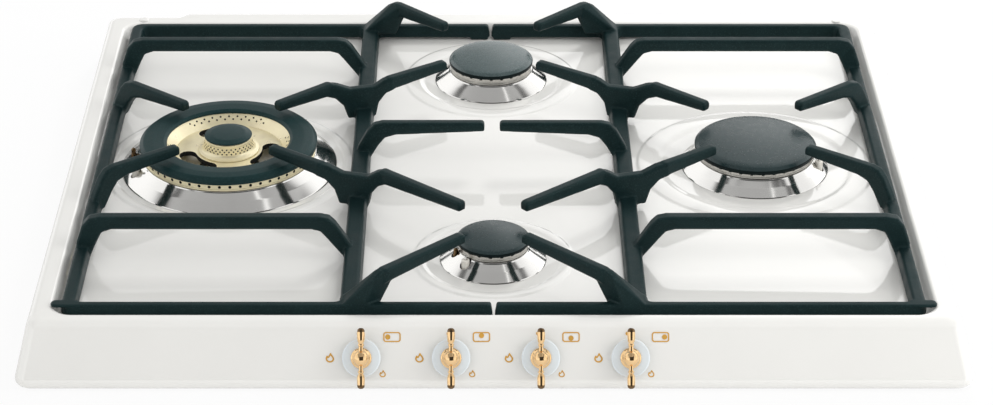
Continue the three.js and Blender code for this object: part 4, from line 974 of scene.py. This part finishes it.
def centre_cap(b):
    low, r = RIM + CENTRE["edge"], CENTRE["cap"]
    high = low + CENTRE["side"]
    ring = CENTRE["crown"] - CENTRE["wall"] - GAP
    profile = rounded([
        (0, low, 0), (ring - 1.2, low, 0), (ring - 1.2, low - 1.2, 0), (ring, low - 1.2, 0), (ring, low, 0),
        (r - 0.6, low, 0.3), (r, low + 0.6, 0.3), (r - 0.5, high, 0.8),
        (r * 0.72, high + CENTRE["dome"] * 0.62, 9), (0, high + CENTRE["dome"], 0),
    ], 6)
    obj = make("cap_centre_fine", *lathe(profile, DISC_SIDES), CAP_DULL, origin=middle_of(b))
    piece(obj, "cap_centre", "cap_enamel", "burner_cap_centre")


for burner_name, burner in BURNERS.items():
    skirt(burner_name, burner)
    probes(burner_name, burner)
    if burner_name == "left":
        large_crown(burner)
        centre_crown(burner)
        ring_cap(burner)
        centre_cap(burner)
    else:
        notched_crown(burner_name, burner)
        domed_cap(burner_name, burner)

# ------------------------------------------------------------
# Pan supports: the CAD casting with its edges worn round
# ------------------------------------------------------------

VOXEL, SMOOTHING = ((0.8, 2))


def castings():
    """Both pan supports. The right one is the left one's mirror image."""
    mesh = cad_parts["pan_support_left"].data.copy()
    left = bpy.data.objects.new("casting_left", mesh)
    scene.collection.objects.link(left)
    grid = left.modifiers.new("grid", "REMESH")
    grid.mode = "VOXEL"
    grid.voxel_size = VOXEL * MM
    soften = left.modifiers.new("soften", "SMOOTH")
    soften.factor = 0.5
    soften.iterations = SMOOTHING
    bpy.context.view_layer.update()
    settle(left)
    left.data.materials.clear()
    left.data.materials.append(IRON)
    left.data.shade_smooth()
    twin = left.data.copy()
    twin.transform(Matrix.Scale(-1, 4, (1, 0, 0)))
    twin.flip_normals()
    right = bpy.data.objects.new("casting_right", twin)
    scene.collection.objects.link(right)
    piece(left, "pan_support_left", "iron", "pan_support_left")
    piece(right, "pan_support_right", "iron", "pan_support_right")


castings()

# ------------------------------------------------------------
# Controls, and the icons beside them
# ------------------------------------------------------------

GRIP = (  # (radius, distance from the handle's end), from its end to its middle
    (0, 0), (1.0, 0.1), (1.85, 0.6), (2.25, 1.4), (2.35, 2.4), (2.4, 4.5), (2.35, 6.8), (2.1, 8.3),
    (1.6, 9.2), (1.5, 9.6), (1.85, 10), (1.95, 10.5), (1.75, 11), (1.4, 11.4), (1.4, 13), (1.7, 14.6),
)
TIP_ROWS = 4  # rows of faces at each end of the handle that take the darker bronze, a painted reflection for the polished tips that look dark


def control(name, x):
    """White disc and polished handle, modelled with Z along the spindle."""
    origin = (x, CONTROL_Y, CONTROL_Z)
    r, bore, low, high = DISC_RADIUS, SPINDLE_RADIUS + GAP, DISC_LIFT, DISC_LIFT + DISC_THICK
    profile = rounded([
        (bore, low, 0), (r - 1.4, low, 0.4), (r - 0.1, low + 0.9, 0.5), (r, high - 0.9, 0.5),
        (r - 0.8, high - 0.35, 0.5), (7.4, high, 6), (bore, high, 0),
    ], 5)
    disc = make(f"disc_{name}", *lathe(profile, DISC_SIDES, closed=True), PORCELAIN, origin=origin, turn=TILT)
    piece(disc, f"control_{name}", "porcelain", f"control_disc_{name}")
    seat = high + GAP
    middle = seat + 4
    boss = [(0, seat)] + rounded([
        (6.1, seat, 0.3), (6.45, seat + 0.5, 0.4), (6.45, seat + 1.2, 0.4), (5.7, seat + 1.7, 0.3),
        (5.35, seat + 2.2, 0.2), (5.1, seat + 2.7, 0),
    ], 3)
    boss += [
        (BALL_RADIUS * math.cos(a), middle + 0.1 + (BALL_RADIUS + 0.05) * math.sin(a))
        for a in arc(-0.22, math.pi / 2, 14)
    ]
    boss[-1] = (0, boss[-1][1])
    grip = [(radius, HANDLE_HALF - back) for radius, back in GRIP]
    grip += [(radius, -s) for radius, s in reversed(grip)]
    arm_verts, arm_faces = lathe(grip, GRIP_SIDES)
    # The tips take the darker bronze as a painted reflection.
    tip = TIP_ROWS * GRIP_SIDES
    arm_slots = [0 if tip <= i < len(arm_faces) - tip else 1 for i in range(len(arm_faces))]
    lie = Matrix.Rotation(math.pi / 2, 3, "X")
    arm_verts = [tuple(lie @ Vector(v) + Vector((0, 0, middle))) for v in arm_verts]
    hub = lathe(boss, HUB_SIDES)
    shape = joined(hub, (arm_verts, arm_faces))
    handle = make(f"handle_{name}", *shape, [GOLD, BRONZE], origin=origin, turn=TILT,
                  slots=[0] * len(hub[1]) + arm_slots)
    piece(handle, f"control_{name}", "gold", f"control_handle_{name}")


for control_name, control_x in CONTROLS.items():
    control(control_name, control_x)

FLAME_OUT = [
    (0.25, 3.25), (0.95, 2.0), (1.9, 0.75), (2.5, -0.4), (2.55, -1.4), (1.95, -2.5), (0.75, -3.1),
    (-0.55, -3.15), (-1.8, -2.6), (-2.6, -1.6), (-2.75, -0.5), (-2.4, 0.5), (-1.95, 1.35), (-1.35, 0.85),
    (-0.95, 0.65), (-0.5, 1.6),
]
FLAME_IN = [
    (0.3, 1.45), (0.85, 0.6), (1.5, -0.4), (1.6, -1.15), (1.1, -1.9), (0.3, -2.25), (-0.6, -2.2),
    (-1.4, -1.75), (-1.8, -1.05), (-1.75, -0.35), (-1.3, -0.35), (-0.75, -0.35), (-0.25, 0.3),
]
ICON_RISE = 0.3
ICON_SINK = 0.25
ICON_SHIFT = 0.8
# Places beside a control: to the right of its middle, and down the fascia from the rim's edge.
HOB_ICON = (19.6, 9.8)
OFF_PLACE = (-0.9, 7.6)
FLAMES = ((-18.8, 22.5, 1.0), (13.9, 32.4, 0.75))  # with their scale
HOB_OUTLINE = ((5.4, 3.1, 1.6), (4.65, 2.4, 1.0))  # half width, half height and corner, outside and inside
BURNER_PLACES = {"left": (-2.6, 0), "rear": (0, 0.9), "front": (0, -0.7), "right": (2.5, 0)}
BURNER_DOT = (1.62, 28)  # radius and sides
OFF_DOT = (1.15, 20)


def icons():
    """Gold inlays beside each control: its burner's place, an off dot, a large flame and a small one."""
    shapes = []
    for name, x in CONTROLS.items():

        def at(offset, drop):
            return x + offset - ICON_SHIFT, CONTROL_DROP - drop

        cx, cy = at(*HOB_ICON)
        dx, dy = BURNER_PLACES[name]
        shapes.append([rounded_box(cx, cy, *outline) for outline in HOB_OUTLINE])
        shapes.append([circle(cx + dx, cy + dy, *BURNER_DOT)])
        shapes.append([circle(*at(*OFF_PLACE), *OFF_DOT)])
        for offset, drop, scale in FLAMES:
            fx, fy = at(offset, drop)
            shapes.append([
                rounded([(fx + px * scale, fy + py * scale, 0.5 * scale) for px, py in line], 3, loop=True)
                for line in (FLAME_OUT, FLAME_IN)
            ])
    verts, faces = joined(*(plate(loops, -ICON_SINK, ICON_RISE) for loops in shapes))
    obj = make("fascia_icons", verts, faces, ICON_GOLD, origin=(0, CONTROL_Y, CONTROL_Z), turn=TILT)
    piece(obj, "hob", "gold")


icons()

# ------------------------------------------------------------
# The CAD pieces that keep their own shape
# ------------------------------------------------------------

KEPT = (
    ("base_tray", GALVANISED), ("worktop_seal", SEAL_FOAM), ("burner_cup", CUP_ALU), ("tap_body", BRASS),
    ("tap_plug", BRASS), ("spindle", POLISHED), ("gas_rail", GALVANISED), ("gas_inlet", BRASS),
    ("feed_tube", CAST_ALU), ("igniter", PLASTIC), ("mains_terminals", PLASTIC),
)
for node_name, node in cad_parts.items():
    for start, material in KEPT:
        if node_name.startswith(start):
            node.data.materials.clear()
            node.data.materials.append(material)

# ------------------------------------------------------------
# Worktop
# ------------------------------------------------------------

FLOOR = [(-9000, -6000), (9000, -6000), (9000, 12000), (-9000, 12000)]


def worktop():
    """A pale worktop with the cut-out that the tray hangs in. The camera sees it nearly white."""
    half_width, half_depth, corner = CUT_OUT
    verts, faces = filled([FLOOR, rounded_box(0, 0, half_width, half_depth, corner)], WORKTOP - 0.2)
    material = bpy.data.materials.new("worktop")
    t = Nodes(material)
    place = t.add("TexCoord").outputs["Object"]
    clouds = t.add("TexNoise", Vector=place, Scale=12.0, Detail=2.0).outputs["Fac"]
    pale = t.ramp(clouds, [(0.3, (0.885, 0.885, 0.885)), (0.7, (0.905, 0.905, 0.905))])
    matte = t.add("BsdfDiffuse", Color=pale)
    glow = t.add("Emission", Color=(1, 1, 1, 1), Strength=1.0)
    seen = t.math("ADD", t.math("MULTIPLY", t.add("LightPath").outputs["Is Camera Ray"], 0.65), 0.25)
    surface = t.add("MixShader", i0=seen, i1=matte.outputs[0], i2=glow.outputs[0])
    t.add("OutputMaterial", Surface=surface.outputs[0])
    obj = make("worktop", verts, faces, material)


worktop()
